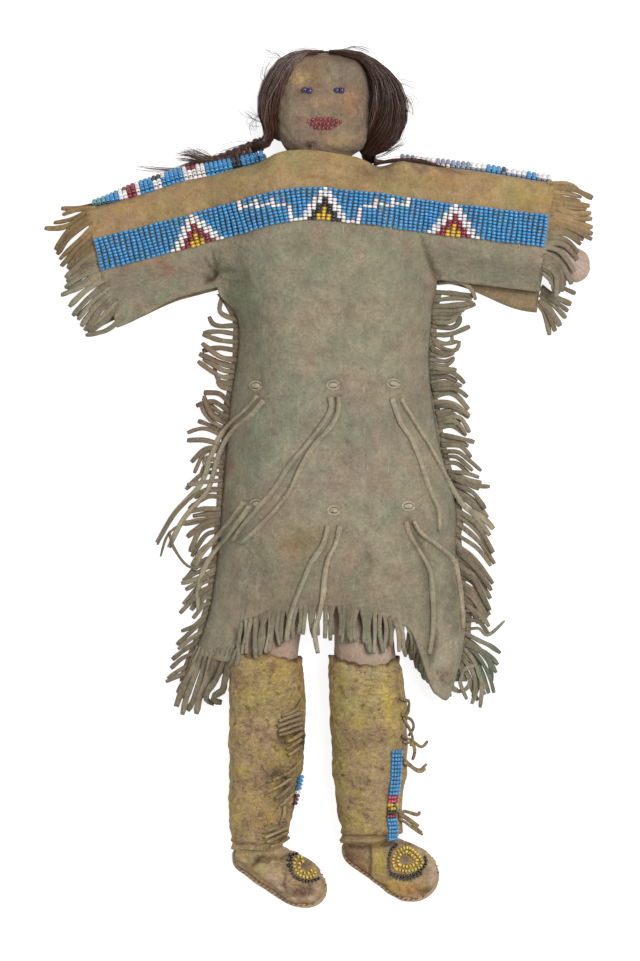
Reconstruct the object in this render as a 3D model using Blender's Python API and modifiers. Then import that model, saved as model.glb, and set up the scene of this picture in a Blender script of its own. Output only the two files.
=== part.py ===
"""A beaded hide doll, lying on its back with its arms spread.

A stuffed body wears a two-hide dress with bead lanes, fringes and thong ties, and beaded boots.
X runs to the viewer's right, Y towards the head and Z up from the surface that the doll lies on.
The origin is on the underside of the dress. Left and right are as seen from the doll's front.
"""

import math

import bmesh
import bpy
from mathutils import Vector

MM = 0.001
GAP = 0.3 * MM

# Hide and bead sizes
HIDE = 1.2 * MM
WELT = 1.0 * MM
SOLE = 1.5 * MM
BEAD_WIDE = 2.1 * MM
BEAD_LONG = 1.45 * MM
LANE_BEADS = 9
LANE_THICK = 1.6 * MM
THONG = 2.2 * MM

# The shoulder line, which the front bead lane follows
CREST_X = -5.0 * MM
CREST_Y = 112.8 * MM
CREST_ROUND = 10.0 * MM
SLOPE_LEFT = 0.272
SLOPE_RIGHT = 0.118
SLEEVE_LEFT = -91.4 * MM
SLEEVE_RIGHT = 93.4 * MM
SLEEVE_BELOW = 24.5 * MM
YOKE_ABOVE = 19.5 * MM
YOKE_SWAY = 1.8 * MM
COLLAR_RISE = 2.4 * MM

# The dress, as it lies over the body
ARMPIT_LEFT = -48.3 * MM
ARMPIT_RIGHT = 51.0 * MM
CHEST_TOP = 31.0 * MM
HEM_TOP = 29.0 * MM
SLEEVE_TOP = 19.0 * MM
SIDE_EDGE = 4.2 * MM
SHOULDER_EDGE = 2.6 * MM
COLLAR_EDGE = 29.4 * MM
NECK_X = 1.5 * MM
NECK_HALF = 21.0 * MM
SHOULDER_RUN_LEFT = 7.0 * MM
SHOULDER_RUN_RIGHT = 3.0 * MM
BODY_X = 1.0 * MM
SIDE_POWER = 3.4
SIDE_LEFT = ((80, -42.2), (63, -33.5), (30, -37), (-30, -42), (-56, -46), (-80, -55))
SIDE_RIGHT = ((82, 48.2), (64, 45.9), (45, 45), (15, 49), (-12, 56), (-32, 56), (-60, 60), (-90, 57))
HEM_Y = -52.0 * MM
HEM_MID_X = 1.8 * MM

# Fringes
HEM_FRINGE = 12.5 * MM
SLEEVE_FRINGE = 17.0 * MM
SIDE_STRANDS = 28
SIDE_FRINGE = 15.0 * MM
WELT_INSIDE = 3.0 * MM
WELT_OUTSIDE = 3.0 * MM

# Body, head and boots
TORSO_DEEP = 13.2 * MM
ARM_WIDE = 7.4 * MM
ARM_DEEP = 6.6 * MM
LEG_LEFT = ((-13, -38, 14.2, 12, 11), (-18.5, -58, 12.6, 12.6, 11), (-21.6, -75, 14.4, 13.1, 11.9),
            (-22.0, -110, 13.6, 12.8, 11.4), (-24.6, -144, 12.4, 9.8, 9.4))
LEG_RIGHT = ((14, -38, 14.2, 12, 11), (18.0, -58, 12.6, 12.4, 11), (18.8, -75, 14.4, 12.9, 11.9),
             (19.6, -110, 13.6, 12.8, 11.4), (21.4, -141.4, 12.4, 11, 10))
ARM_LEFT = ((-18, 107.5, 13.6), (-30, 104.4, 12.4), (-48, 100.6, 10), (-66, 95.4, 9), (-84, 89.4, 8.8),
            (-89, 87.8, 8.6), (-91.5, 87, 8.6))
ARM_RIGHT = ((20, 108.2, 13.6), (32, 106, 12.4), (50, 103.2, 10), (72, 98, 9), (94, 92, 8.4),
             (104, 89.6, 8.2), (109, 88.4, 8.2), (111.3, 87.8, 8.2))
BOOT_TOP_Y = -73.0 * MM
BOOT_LOW_LEFT = -146.8 * MM
BOOT_LOW_RIGHT = -143.6 * MM
LEG_SLACK = 0.7 * MM
LIMB_POWER = 2.2
HEAD_X = 1.4 * MM
HEAD_Z = 16.6 * MM
HEAD_PROFILE = ((175.2, 8, 5), (173.4, 12.6, 9), (169.3, 15.7, 12), (163, 17.7, 13.4), (154, 18.8, 14),
                (146, 19, 14), (139.5, 17.9, 13), (134.8, 15, 10.6))
HAIR_THICK = 2.0 * MM
FOOT_LONG = 44.0 * MM
FOOT_AXIS = Vector((0.84, -0.50, 0.20)).normalized()
FOOT_UP = Vector((0.2, 0.5, 0.85))
HEEL_LEFT = Vector((-35.7, -151.5, 5.6)) * MM
HEEL_RIGHT = Vector((9.3, -149.0, 5.6)) * MM

COLOURS = {
    "green_hide": ((0.36, 0.34, 0.26, 1), 0.95),
    "body_hide": ((0.40, 0.33, 0.29, 1), 0.95),
    "face_hide": ((0.42, 0.35, 0.28, 1), 0.9),
    "boot_hide": ((0.40, 0.31, 0.13, 1), 0.95),
    "sole_hide": ((0.38, 0.27, 0.18, 1), 0.8),
    "hair": ((0.06, 0.03, 0.02, 1), 0.5),
    "blue_beads": ((0.10, 0.33, 0.62, 1), 0.25),
    "dark_beads": ((0.02, 0.02, 0.05, 1), 0.25),
    "red_beads": ((0.30, 0.02, 0.05, 1), 0.25),
    "yellow_beads": ((0.62, 0.42, 0.05, 1), 0.25),
}


def smooth(t):
    t = min(max(t, 0.0), 1.0)
    return t * t * (3 - 2 * t)


def mix(a, b, t):
    return a + (b - a) * t


def curve_through(points, y):
    """The smooth line through (y, x) points in millimetres, read at y in metres."""
    y /= MM
    knots = sorted(points)
    if y <= knots[0][0]:
        return knots[0][1] * MM
    if y >= knots[-1][0]:
        return knots[-1][1] * MM
    i = max(k for k in range(len(knots) - 1) if knots[k][0] <= y)
    before, after = knots[max(i - 1, 0)], knots[min(i + 2, len(knots) - 1)]
    (y0, x0), (y1, x1) = knots[i], knots[i + 1]
    span = y1 - y0
    t = (y - y0) / span
    m0 = (x1 - before[1]) / (y1 - before[0]) * span
    m1 = (after[1] - x0) / (after[0] - y0) * span
    value = (2 * t**3 - 3 * t**2 + 1) * x0 + (t**3 - 2 * t**2 + t) * m0
    return (value + (3 * t**2 - 2 * t**3) * x1 + (t**3 - t**2) * m1) * MM


# The dress as a surface


def shoulder_line(x):
    run = x - CREST_X
    slope = SLOPE_LEFT if run < 0 else SLOPE_RIGHT
    return CREST_Y - slope * (math.hypot(run, CREST_ROUND) - CREST_ROUND)


def shoulder_normal(x):
    run = x - CREST_X
    slope = SLOPE_LEFT if run < 0 else SLOPE_RIGHT
    fall = -slope * run / math.hypot(run, CREST_ROUND)
    length = math.hypot(1, fall)
    return -fall / length, 1 / length


def off_line(x, v):
    """The point at distance v above the shoulder line, square to it at x."""
    nx, ny = shoulder_normal(x)
    return x + nx * v, shoulder_line(x) + ny * v


def line_place(x, y):
    """The foot on the shoulder line of a point, and how far above the line the point is."""
    foot, v = x, y - shoulder_line(x)
    for _ in range(6):
        nx, ny = shoulder_normal(foot)
        v = (y - shoulder_line(foot)) / ny
        foot = x - nx * v
    return foot, v


def yoke_edge(x):
    """How far the shoulder's far edge is above the shoulder line."""
    collar = COLLAR_RISE * (1 - smooth((abs(x - BODY_X) - 10 * MM) / (11 * MM)))
    return YOKE_ABOVE - YOKE_SWAY * math.tanh((x - BODY_X) / (20 * MM)) + collar


def shoulder_run(x):
    return mix(SHOULDER_RUN_LEFT, SHOULDER_RUN_RIGHT, smooth((x + NECK_HALF) / (2 * NECK_HALF)))


def edge_height(x):
    """The dress's height along its far edge: low at the shoulders, high at the collar."""
    away = abs(x - NECK_X)
    return mix(COLLAR_EDGE, SHOULDER_EDGE, smooth((away - 0.72 * NECK_HALF) / (0.5 * NECK_HALF)))


def ridge_height(x):
    """The dress's height along the arms and across the chest."""
    away = abs(x - BODY_X)
    return mix(CHEST_TOP, SLEEVE_TOP, smooth((away - 21 * MM) / (26 * MM)))


def arm_offset(x):
    """How far below the shoulder line the arm lies in the sleeve."""
    return 1 * MM + (0.09 if x > 0 else 0.05) * abs(x)


def upper_height(foot, v):
    top, run = yoke_edge(foot), shoulder_run(foot)
    ridge, edge = ridge_height(foot), edge_height(foot)
    t = min(max((top - v) / run, 0.0), 1.0)
    rise = math.sqrt(1 - (1 - t) ** 2)
    start = -arm_offset(foot) - 3 * MM
    fall = smooth((start - v) / (SLEEVE_BELOW + start))
    out = smooth((abs(foot - BODY_X) - 34 * MM) / (14 * MM))
    low = mix(ridge, 7 * MM, out * fall)
    return mix(edge, low, rise)


def side_x(y, left):
    return curve_through(SIDE_LEFT if left else SIDE_RIGHT, y)


def torso_height(x, y):
    half = BODY_X - side_x(y, True) if x < BODY_X else side_x(y, False) - BODY_X
    r = min(abs(x - BODY_X) / half, 1.0)
    top = mix(CHEST_TOP, HEM_TOP, smooth((70 * MM - y) / (120 * MM)))
    return mix(top, SIDE_EDGE, r**SIDE_POWER)


def dress_height(x, y):
    """The height of the front hide's outer face."""
    foot, v = line_place(x, y)
    share = smooth((v + 34 * MM) / (12 * MM))
    return mix(torso_height(x, y), upper_height(foot, v), share)


def dress_point(x, y, lift=0.0):
    """A point over the front hide, lifted square to it."""
    step = 0.5 * MM
    slope_x = (dress_height(x + step, y) - dress_height(x - step, y)) / (2 * step)
    slope_y = (dress_height(x, y + step) - dress_height(x, y - step)) / (2 * step)
    normal = Vector((-slope_x, -slope_y, 1)).normalized()
    return Vector((x, y, dress_height(x, y))) + normal * lift


def hem_y(x):
    away = x - HEM_MID_X
    drop = 0.0078 * (away / MM) ** 2 * MM
    lappet = 20 * MM * smooth((x - 38 * MM) / (16 * MM))
    return HEM_Y - drop - lappet


# Modelling helpers


def material(name):
    found = bpy.data.materials.get(name)
    if found:
        return found
    colour, rough = COLOURS[name]
    made = bpy.data.materials.new(name)
    made.use_nodes = True
    shader = made.node_tree.nodes["Principled BSDF"]
    shader.inputs["Base Color"].default_value = colour
    shader.inputs["Roughness"].default_value = rough
    shader.inputs["Metallic"].default_value = 0.0
    made.diffuse_color = colour
    return made


def place(obj, look, collection):
    obj.data.materials.append(material(look))
    collection.objects.link(obj)
    return obj


def mesh_object(name, bm, look, collection):
    mesh = bpy.data.meshes.new(name)
    bm.to_mesh(mesh)
    bm.free()
    mesh.shade_smooth()
    return place(bpy.data.objects.new(name, mesh), look, collection)


def as_helper(obj):
    obj.hide_render = True
    obj.display_type = "WIRE"
    return obj


def boolean(obj, other, operation):
    modifier = obj.modifiers.new(operation.lower(), "BOOLEAN")
    modifier.operation = operation
    modifier.object = as_helper(other)
    modifier.solver = "EXACT"


def oval(centre, side, up, wide, deep, count, power=2.0):
    """A ring of points round centre: an ellipse, or a boxier one with a higher power."""
    ring = []
    for i in range(count):
        angle = 2 * math.pi * (i + 0.5) / count
        c, s = math.cos(angle), math.sin(angle)
        across = math.copysign(abs(c) ** (2 / power), c) * wide
        above = math.copysign(abs(s) ** (2 / power), s) * deep
        ring.append(centre + side * across + up * above)
    return ring


def loft(name, rings, look, collection, capped=True):
    """A skin over rings that have the same number of points."""
    bm = bmesh.new()
    loops = [[bm.verts.new(p) for p in ring] for ring in rings]
    for low, high in zip(loops, loops[1:]):
        for i, start in enumerate(low):
            following = (i + 1) % len(low)
            bm.faces.new((start, low[following], high[following], high[i]))
    if capped:
        bm.faces.new(reversed(loops[0]))
        bm.faces.new(loops[-1])
    bmesh.ops.recalc_face_normals(bm, faces=bm.faces)
    return mesh_object(name, bm, look, collection)


def limb_rings(stations, count, power=LIMB_POWER, grow=0.0, side=Vector((1, 0, 0))):
    """Rings along a limb. A station is x, y, z, half width and half depth in millimetres."""
    centres = [Vector(s[:3]) * MM for s in stations]
    rings = []
    for i, (x, y, z, wide, deep) in enumerate(stations):
        ahead = centres[min(i + 1, len(centres) - 1)] - centres[max(i - 1, 0)]
        across = (side - side.project(ahead)).normalized()
        up = ahead.cross(across).normalized()
        rings.append(oval(centres[i], across, up, wide * MM + grow, deep * MM + grow, count, power))
    return rings


def solidify(obj, thickness, outward=False):
    modifier = obj.modifiers.new("thickness", "SOLIDIFY")
    modifier.thickness = thickness
    modifier.offset = 1 if outward else -1


def face_up(bm):
    bmesh.ops.recalc_face_normals(bm, faces=bm.faces)
    if sum(f.normal.z * f.calc_area() for f in bm.faces) < 0:
        bmesh.ops.reverse_faces(bm, faces=bm.faces)


def add_strand(bm, root_a, root_b, path, wide):
    """A strand of fringe: quads that run from a root edge along path, which is its middle line."""
    a, b = root_a, root_b
    run = root_b.co - root_a.co
    across = Vector((run.x, run.y, 0.3 * run.z)).normalized()
    for i, point in enumerate(path):
        half = across * wide * (0.5 if i < len(path) - 1 else 0.42)
        next_a, next_b = bm.verts.new(point - half), bm.verts.new(point + half)
        bm.faces.new((a, b, next_b, next_a))
        a, b = next_a, next_b


def tube(name, points, thick, look, collection, resolution=2):
    """A round tube along points."""
    curve = bpy.data.curves.new(name, "CURVE")
    curve.dimensions = "3D"
    curve.bevel_depth = thick / 2
    curve.bevel_resolution = resolution
    curve.use_fill_caps = True
    spline = curve.splines.new("POLY")
    spline.points.add(len(points) - 1)
    for at, point in zip(spline.points, points):
        at.co = (*point, 1)
    return place(bpy.data.objects.new(name, curve), look, collection)


def flat_outline(name, outline, low, high, look, collection):
    """A flat sheet from low to high with that outline."""
    curve = bpy.data.curves.new(name, "CURVE")
    curve.dimensions = "2D"
    curve.fill_mode = "BOTH"
    curve.extrude = (high - low) / 2
    spline = curve.splines.new("POLY")
    spline.use_cyclic_u = True
    spline.points.add(len(outline) - 1)
    for at, (x, y) in zip(spline.points, outline):
        at.co = (x, y, 0, 1)
    obj = place(bpy.data.objects.new(name, curve), look, collection)
    obj.location.z = (low + high) / 2
    return obj


# The two hides of the dress


def sleeve_strand(end, v):
    """The middle line of a strand at a sleeve's end, v above the shoulder line."""
    left = end < 0
    x, y = off_line(end, v)
    out = -1 if left else 1
    low = smooth((6 * MM - v) / (26 * MM))
    angle = math.radians(mix(12, 62, low) if left else mix(2, 68, low))
    dx, dy = out * math.cos(angle) * SLEEVE_FRINGE, -math.sin(angle) * SLEEVE_FRINGE
    height = dress_height(x, y)
    end_height = max(height - mix(3, 8, low) * MM, 3.6 * MM)
    points = []
    for t in (0.5, 1.0):
        bend = Vector((out * 0.10, -0.05)) * SLEEVE_FRINGE * math.sin(math.pi * t)
        px, py = x + dx * t + bend.x, y + dy * t + bend.y
        points.append(Vector((px, py, max(mix(height, end_height, t * t), arm_height(px, py) + 2 * MM))))
    return points


def arm_height(x, y):
    """The height of the arms' tops, past the sleeves' ends."""
    arm = ARM_LEFT if x < 0 else ARM_RIGHT
    y_at = curve_through([(a[0], a[1]) for a in arm], x)
    z_at = curve_through([(a[0], a[2]) for a in arm], x)
    r = abs(y - y_at) / ARM_WIDE
    past = abs(x) - abs(arm[-1][0]) * MM
    return z_at + ARM_DEEP * (1 - r**LIMB_POWER) ** (1 / LIMB_POWER) if r < 1 and past < 1.5 * MM else 0.0


def row_offsets(x):
    """The rows of the yoke and sleeves, from the sleeve's lower edge to the shoulder's far edge."""
    top, run = yoke_edge(x), shoulder_run(x)
    low_rows = [-SLEEVE_BELOW + (top - run + SLEEVE_BELOW) * i / 5 for i in range(5)]
    arc_rows = [top - run * (1 - math.cos(math.radians(a))) for a in (90, 65, 40, 18, 0)]
    return low_rows + arc_rows


def front_grid(bm):
    """The front hide as an open sheet. Returns its rows of points, and the torso's rows."""
    def stations(start, end, count):
        return [mix(start, end, i / count) for i in range(count)]

    columns = stations(SLEEVE_LEFT, ARMPIT_LEFT, 5) + stations(ARMPIT_LEFT, ARMPIT_RIGHT, 14)
    columns += stations(ARMPIT_RIGHT, SLEEVE_RIGHT, 5) + [SLEEVE_RIGHT]
    upper = []
    for x in columns:
        upper.append([])
        for v in row_offsets(x):
            px, py = off_line(x, v)
            upper[-1].append(bm.verts.new((px, py, upper_place(x, v, px, py))))
    first, last = 5, 19
    torso = [[upper[i][0] for i in range(first, last + 1)]]
    rows = 10
    for j in range(1, rows + 1):
        t = j / rows
        torso.append([])
        for i in range(first, last + 1):
            top = upper[i][0].co
            w = (i - first) / (last - first)
            y = mix(top.y, hem_y(mix(side_x(hem_y(top.x), True), side_x(hem_y(top.x), False), w)), t)
            x = mix(side_x(y, True), side_x(y, False), w)
            torso[-1].append(bm.verts.new((x, y, dress_height(x, y))))
    return upper, torso


def upper_place(foot, v, x, y):
    share = smooth((v + 34 * MM) / (12 * MM))
    return mix(torso_height(x, y), upper_height(foot, v), share)


def split_edge_points(bm, a, b, parts):
    """The points from a to b, both included, with parts - 1 new ones between them."""
    between = [bm.verts.new(a.co.lerp(b.co, k / parts)) for k in range(1, parts)]
    return [a, *between, b]


def make_dress_front(collection):
    bm = bmesh.new()
    upper, torso = front_grid(bm)
    last = len(upper) - 1
    ends = {0: [], last: []}
    for i in range(last):
        for j in range(len(upper[0]) - 1):
            corners = [upper[i][j], upper[i + 1][j], upper[i + 1][j + 1], upper[i][j + 1]]
            side = 0 if i == 0 else last if i + 1 == last else None
            if side is not None and j < 5:
                a, b = upper[side][j], upper[side][j + 1]
                points = split_edge_points(bm, a, b, 3)
                ends[side].append(points)
                inner_a, inner_b = upper[1 if side == 0 else last - 1][j : j + 2]
                bm.faces.new([inner_a, inner_b, *reversed(points)])
            else:
                bm.faces.new(corners)
    for j in range(len(torso) - 2):
        for i in range(len(torso[0]) - 1):
            bm.faces.new((torso[j][i], torso[j][i + 1], torso[j + 1][i + 1], torso[j + 1][i]))
    hem = []
    for i in range(len(torso[0]) - 1):
        points = split_edge_points(bm, torso[-1][i], torso[-1][i + 1], 2)
        hem.append(points)
        bm.faces.new([torso[-2][i + 1], torso[-2][i], *points])
    for side, end in ((0, SLEEVE_LEFT), (last, SLEEVE_RIGHT)):
        for points in ends[side]:
            for a, b in zip(points, points[1:]):
                middle = (a.co + b.co) / 2
                _, v = line_place(middle.x, middle.y)
                add_strand(bm, a, b, sleeve_strand(end, v), 0.72 * (a.co - b.co).length)
    for points in hem:
        for a, b in zip(points, points[1:]):
            middle = (a.co + b.co) / 2
            add_strand(bm, a, b, hem_strand(middle), 0.7 * (a.co - b.co).length)
    face_up(bm)
    front = mesh_object("dress_front", bm, "green_hide", collection)
    solidify(front, HIDE)


def hem_strand(root):
    lean = 0.12 * (root.x - HEM_MID_X) / (40 * MM)
    corner = smooth((abs(root.x - BODY_X) - 30 * MM) / (20 * MM))
    drop = mix(0.5, 4.5, corner) * MM
    long = HEM_FRINGE * mix(1, 1.45, corner)
    points = []
    for t in (0.5, 1.0):
        x, y = root.x + lean * long * t, root.y - long * t
        points.append(Vector((x, y, max(root.z - drop * t * t, leg_height(x, y) + 3.2 * MM, SIDE_EDGE))))
    return points


def comb(roots, tips, share):
    """An outline's stretch of strands: each root is a pair of places, with a tip's middle."""
    outline = []
    for (a, b), tip in zip(roots, tips):
        a, b, tip = Vector(a), Vector(b), Vector(tip)
        middle, half = (a + b) / 2, (b - a) / 2 * share
        outline += [a.lerp(b, 0.12), tip - half, tip + half, a.lerp(b, 0.88)]
    return [(p.x, p.y) for p in outline]


def make_dress_back(collection):
    """The back hide lies flat under the body, a little wider than the front."""
    spread = 0.6 * MM
    below = SLEEVE_BELOW + 2.5 * MM

    def end_comb(end, upward):
        edges = [mix(-below, yoke_edge(end) - 1 * MM, i / 12) for i in range(13)]
        edges = edges if upward else edges[::-1]
        roots = [(off_line(end, a), off_line(end, b)) for a, b in zip(edges, edges[1:])]
        tips = [sleeve_strand(end, (a + b) / 2)[-1].xy * 0.995 for a, b in zip(edges, edges[1:])]
        return comb(roots, tips, 0.7)

    def yoke(start, end):
        xs = [mix(start, end, i / 9) for i in range(10)]
        return [off_line(x, yoke_edge(x) - 0.5 * MM) for x in xs]

    outline = end_comb(SLEEVE_LEFT, True)
    outline += yoke(SLEEVE_LEFT, SLEEVE_RIGHT)
    outline += end_comb(SLEEVE_RIGHT, False)
    outline += [off_line(mix(SLEEVE_RIGHT, ARMPIT_RIGHT, t), -mix(below, SLEEVE_BELOW, t)) for t in (0.3, 0.97)]
    ys = [mix(74 * MM, -74 * MM, i / 8) for i in range(9)]
    outline += [(side_x(y, False) + spread, y) for y in ys]
    hem_left, hem_right = side_x(-76 * MM, True) + 1 * MM, side_x(-80 * MM, False) - 3 * MM
    xs = [mix(hem_right, hem_left, i / 22) for i in range(23)]
    roots = [((a, hem_y(a)), (b, hem_y(b))) for a, b in zip(xs, xs[1:])]
    tips = [((a[0] + b[0]) / 2, (a[1] + b[1]) / 2 - 0.8 * HEM_FRINGE) for a, b in roots]
    outline += comb(roots, tips, 0.7)
    outline += [(side_x(y, True) - spread, y) for y in reversed(ys)]
    outline += [off_line(mix(ARMPIT_LEFT, SLEEVE_LEFT, t), -mix(SLEEVE_BELOW, below, t)) for t in (0.03, 0.7)]
    flat_outline("dress_back", outline, 0.0, HIDE, "green_hide", collection)


def make_side_fringe(name, left, collection):
    """A welt sewn into the side seam, cut into strands outside it."""
    out = -1 if left else 1
    top, bottom = (76 * MM, -84 * MM)
    ys = [mix(top, bottom, i / SIDE_STRANDS) for i in range(SIDE_STRANDS + 1)]
    inner = [(side_x(y, left) - out * WELT_INSIDE, y) for y in ys[::3]]
    edge = [(side_x(y, left) + out * WELT_OUTSIDE, y) for y in ys]
    roots = list(zip(edge, edge[1:]))
    tips = []
    for i, (a, b) in enumerate(roots):
        t = i / (SIDE_STRANDS - 1)
        angle = math.radians(mix(4, 62, t**1.6))
        length = SIDE_FRINGE * (1 + 0.16 * math.sin(5.1 * i) + 0.35 * t * t)
        middle = (Vector(a) + Vector(b)) / 2
        tips.append(middle + Vector((out * math.cos(angle), -math.sin(angle))) * length)
    outline = comb(roots, tips, 0.62) + inner[::-1]
    low = HIDE + GAP
    flat_outline(name, outline, low, low + WELT, "green_hide", collection)


# Bead lanes on the dress


def make_front_lane(collection):
    """The bead lane across the breast, ribbed where its columns of beads lie side by side."""
    bm = bmesh.new()
    half = LANE_BEADS * BEAD_LONG / 2
    count = int((SLEEVE_RIGHT - SLEEVE_LEFT) / (2 * BEAD_WIDE))
    rows = []
    for i in range(2 * count + 1):
        x = mix(SLEEVE_LEFT + 0.3 * MM, SLEEVE_RIGHT - 0.3 * MM, i / (2 * count))
        crest = 0.35 * MM * (i % 2)
        rows.append([])
        for v in (-half, 0.0, half):
            px, py = off_line(x, v)
            rows[-1].append((dress_point(px, py, 0.7 * MM), dress_point(px, py, 0.4 * MM + LANE_THICK + crest)))
    low = [[bm.verts.new(p[0]) for p in row] for row in rows]
    high = [[bm.verts.new(p[1]) for p in row] for row in rows]
    close_layers(bm, low, high)
    mesh_object("front_bead_lane", bm, "blue_beads", collection)


def close_layers(bm, low, high):
    """Faces over two matching grids, and round their edges."""
    n, m = len(low) - 1, len(low[0]) - 1
    for i in range(n):
        for j in range(m):
            for grid in (low, high):
                bm.faces.new((grid[i][j], grid[i + 1][j], grid[i + 1][j + 1], grid[i][j + 1]))
    for i in range(n):
        for j in (0, m):
            bm.faces.new((low[i][j], low[i + 1][j], high[i + 1][j], high[i][j]))
    for j in range(m):
        for i in (0, n):
            bm.faces.new((low[i][j], low[i][j + 1], high[i][j + 1], high[i][j]))
    bmesh.ops.recalc_face_normals(bm, faces=bm.faces)


def shoulder_point(x, angle, lift):
    """A point on the rounded shoulder: angle 0 is at its far edge and 90 degrees on its ridge."""
    run, edge = shoulder_run(x), edge_height(x)
    rise = ridge_height(x) - edge
    c, s = math.cos(angle), math.sin(angle)
    nx, ny = shoulder_normal(x)
    v = yoke_edge(x) - run * (1 - c)
    px, py = off_line(x, v)
    outward = Vector((nx * c / run, ny * c / run, s / rise)).normalized()
    return Vector((px, py, edge + rise * s)) + outward * lift


def make_shoulder_lane(name, start, end, collection):
    """A bead lane over one shoulder, from the neck to the sleeve's end."""
    bm = bmesh.new()
    low, high = [], []
    count = 10
    for i in range(count + 1):
        x = mix(start, end, i / count)
        angles = [math.radians(a) for a in (10, 34, 58, 82)]
        low.append([bm.verts.new(shoulder_point(x, a, 0.7 * MM)) for a in angles])
        high.append([bm.verts.new(shoulder_point(x, a, LANE_THICK + 0.4 * MM)) for a in angles])
    close_layers(bm, low, high)
    mesh_object(name, bm, "blue_beads", collection)


# Thong ties: each leaves a slit in the front hide as two tails
# Each tail is a route of x, y places in millimetres, lying on the dress.
TIES = {
    "tie_upper_left": (
        ((-25.4, 33.6), (-30.8, 27.5), (-37.1, 22.3), (-41.4, 17.2), (-43.6, 12.1), (-45.8, 7), (-47.2, 1.6),
         (-50, -3.7), (-54.9, -9), (-60.7, -15.6), (-67.2, -26.7)),
        ((-23, 31.6), (-28.7, 25.2), (-35, 20.3), (-39.1, 15.2), (-41.1, 11.1), (-43, 5.9), (-44.3, 0.6),
         (-46.7, -5.7), (-51.3, -11.1), (-57, -18), (-62.3, -28.7)),
    ),
    "tie_upper_middle": (
        ((4.1, 33), (4.5, 28.3), (1.6, 23), (-5.7, 13.5), (-12.3, 5.3), (-18, -3.7), (-23.8, -10.7),
         (-28.7, -16.4), (-32.8, -21.3), (-35.7, -25.8)),
        ((7.2, 33), (7.4, 27.5), (4.3, 20.9), (-2.7, 12.7), (-8, 4.1), (-12.1, -4.9), (-17.8, -12.7),
         (-23.8, -18.9), (-28.7, -23.8), (-32.4, -26.7)),
    ),
    "tie_upper_right": (
        ((29.4, 32.6), (30.3, 29.1), (32.8, 22.6), (37.1, 16), (40.5, 8.3), (43.5, -0.8), (45.9, -7.6),
         (48.4, -13.5), (48.8, -21.7)),
        ((33, 32.6), (34.2, 29.8), (38.8, 22.6), (44.7, 13.3), (49.6, 4.9), (53.9, -3.3), (59.7, -11.8),
         (66.4, -16), (71.3, -20.9)),
    ),
    "tie_lower_left": (
        ((-28.7, -11.3), (-31.4, -15.4), (-34.9, -20.1), (-38.5, -24.8), (-42.6, -29.1), (-46.3, -34.4),
         (-48.8, -40.2), (-50.4, -47.6), (-50, -54.5)),
        ((-31, -9.8), (-34, -13.9), (-37.5, -18.5), (-41.4, -23), (-45.7, -27.5), (-49.6, -32.4), (-51.8, -38)),
    ),
    "tie_lower_middle": (
        ((3.3, -19.3), (1.2, -26.9), (-3.9, -35.2), (-7.6, -43.6), (-11.4, -53.6), (-13, -61.1), (-13.5, -66.4)),
        ((8.2, -19.3), (6.2, -26.9), (3.3, -32.7), (2, -39.4), (1.2, -47.8), (-0.5, -56.2), (-2.2, -61.9),
         (-0.9, -71.2)),
    ),
    "tie_lower_right": (
        ((35, -17.6), (36.3, -22.7), (40.5, -30.2), (44.7, -37.7), (45.9, -46.1), (46.3, -56.2), (45.9, -64.4),
         (44.7, -72)),
        ((38.2, -17.6), (41.3, -22.7), (48, -27.7), (54.7, -33.5), (56.8, -39.4), (58.1, -47.8), (58.9, -56.2),
         (58.9, -61.9)),
    ),
}


def smooth_route(places, step):
    """Points about step apart on the smooth curve through hand-chosen places."""
    fine = []
    for i in range(len(places) - 1):
        p0, p1 = Vector(places[max(i - 1, 0)]), Vector(places[i])
        p2, p3 = Vector(places[i + 1]), Vector(places[min(i + 2, len(places) - 1)])
        for k in range(8):
            t = k / 8
            fine.append(0.5 * (2 * p1 + (p2 - p0) * t + (2 * p0 - 5 * p1 + 4 * p2 - p3) * t * t
                               + (3 * p1 - p0 - 3 * p2 + p3) * t**3))
    fine.append(Vector(places[-1]))
    along = [0.0]
    for p, q in zip(fine, fine[1:]):
        along.append(along[-1] + (q - p).length)
    count = round(along[-1] / step)
    found = []
    for i in range(count):
        at = along[-1] * i / count
        k = max(j for j in range(len(along) - 1) if along[j] <= at)
        found.append(fine[k].lerp(fine[k + 1], (at - along[k]) / (along[k + 1] - along[k])))
    return found + [fine[-1]]


def laid_height(x, y):
    """The height of what a thong lies on: the front hide, the hem's fringe or the side fringe."""
    low = HIDE + GAP + WELT
    if y < hem_y(x):
        over_leg = max(leg_height(x, y) + 2 * MM, dress_height(x, hem_y(x)) - 2 * MM * smooth((hem_y(x) - HEM_FRINGE - y) / (8 * MM)))
        return max(low, over_leg)
    outside = max(side_x(y, True) - x, x - side_x(y, False), 0)
    inside_height = dress_height(min(max(x, side_x(y, True)), side_x(y, False)), y)
    return mix(inside_height, low, smooth(outside / (2.5 * MM)))


def leg_height(x, y):
    """The height of the leggings' tops below the hem."""
    best = 0.0
    for stations in (LEG_LEFT, LEG_RIGHT):
        x_at = curve_through([(s[1], s[0]) for s in stations], y)
        z_at = curve_through([(s[1], s[2]) for s in stations], y)
        wide = curve_through([(s[1], s[3]) for s in stations], y) + HIDE + 2 * LEG_SLACK
        deep = curve_through([(s[1], s[4]) for s in stations], y) + HIDE + LEG_SLACK
        r = abs(x - x_at) / wide
        if r < 1:
            best = max(best, z_at + deep * (1 - r**LIMB_POWER) ** (1 / LIMB_POWER))
    return best


def make_ties(collection):
    for name, tails in TIES.items():
        for number, places in enumerate(tails, 1):
            route = smooth_route([(x * MM, y * MM) for x, y in places], 2.8 * THONG)
            heights = [laid_height(p.x, p.y) for p in route]
            eased = [max(heights[max(i - 1, 0) : i + 2]) for i in range(len(heights))]
            points = [Vector((p.x, p.y, h + THONG / 2 + 0.9 * MM)) for p, h in zip(route, eased)]
            tube(f"{name}_{number}", points, THONG, "green_hide", collection)


# Body, head and hair


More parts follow.
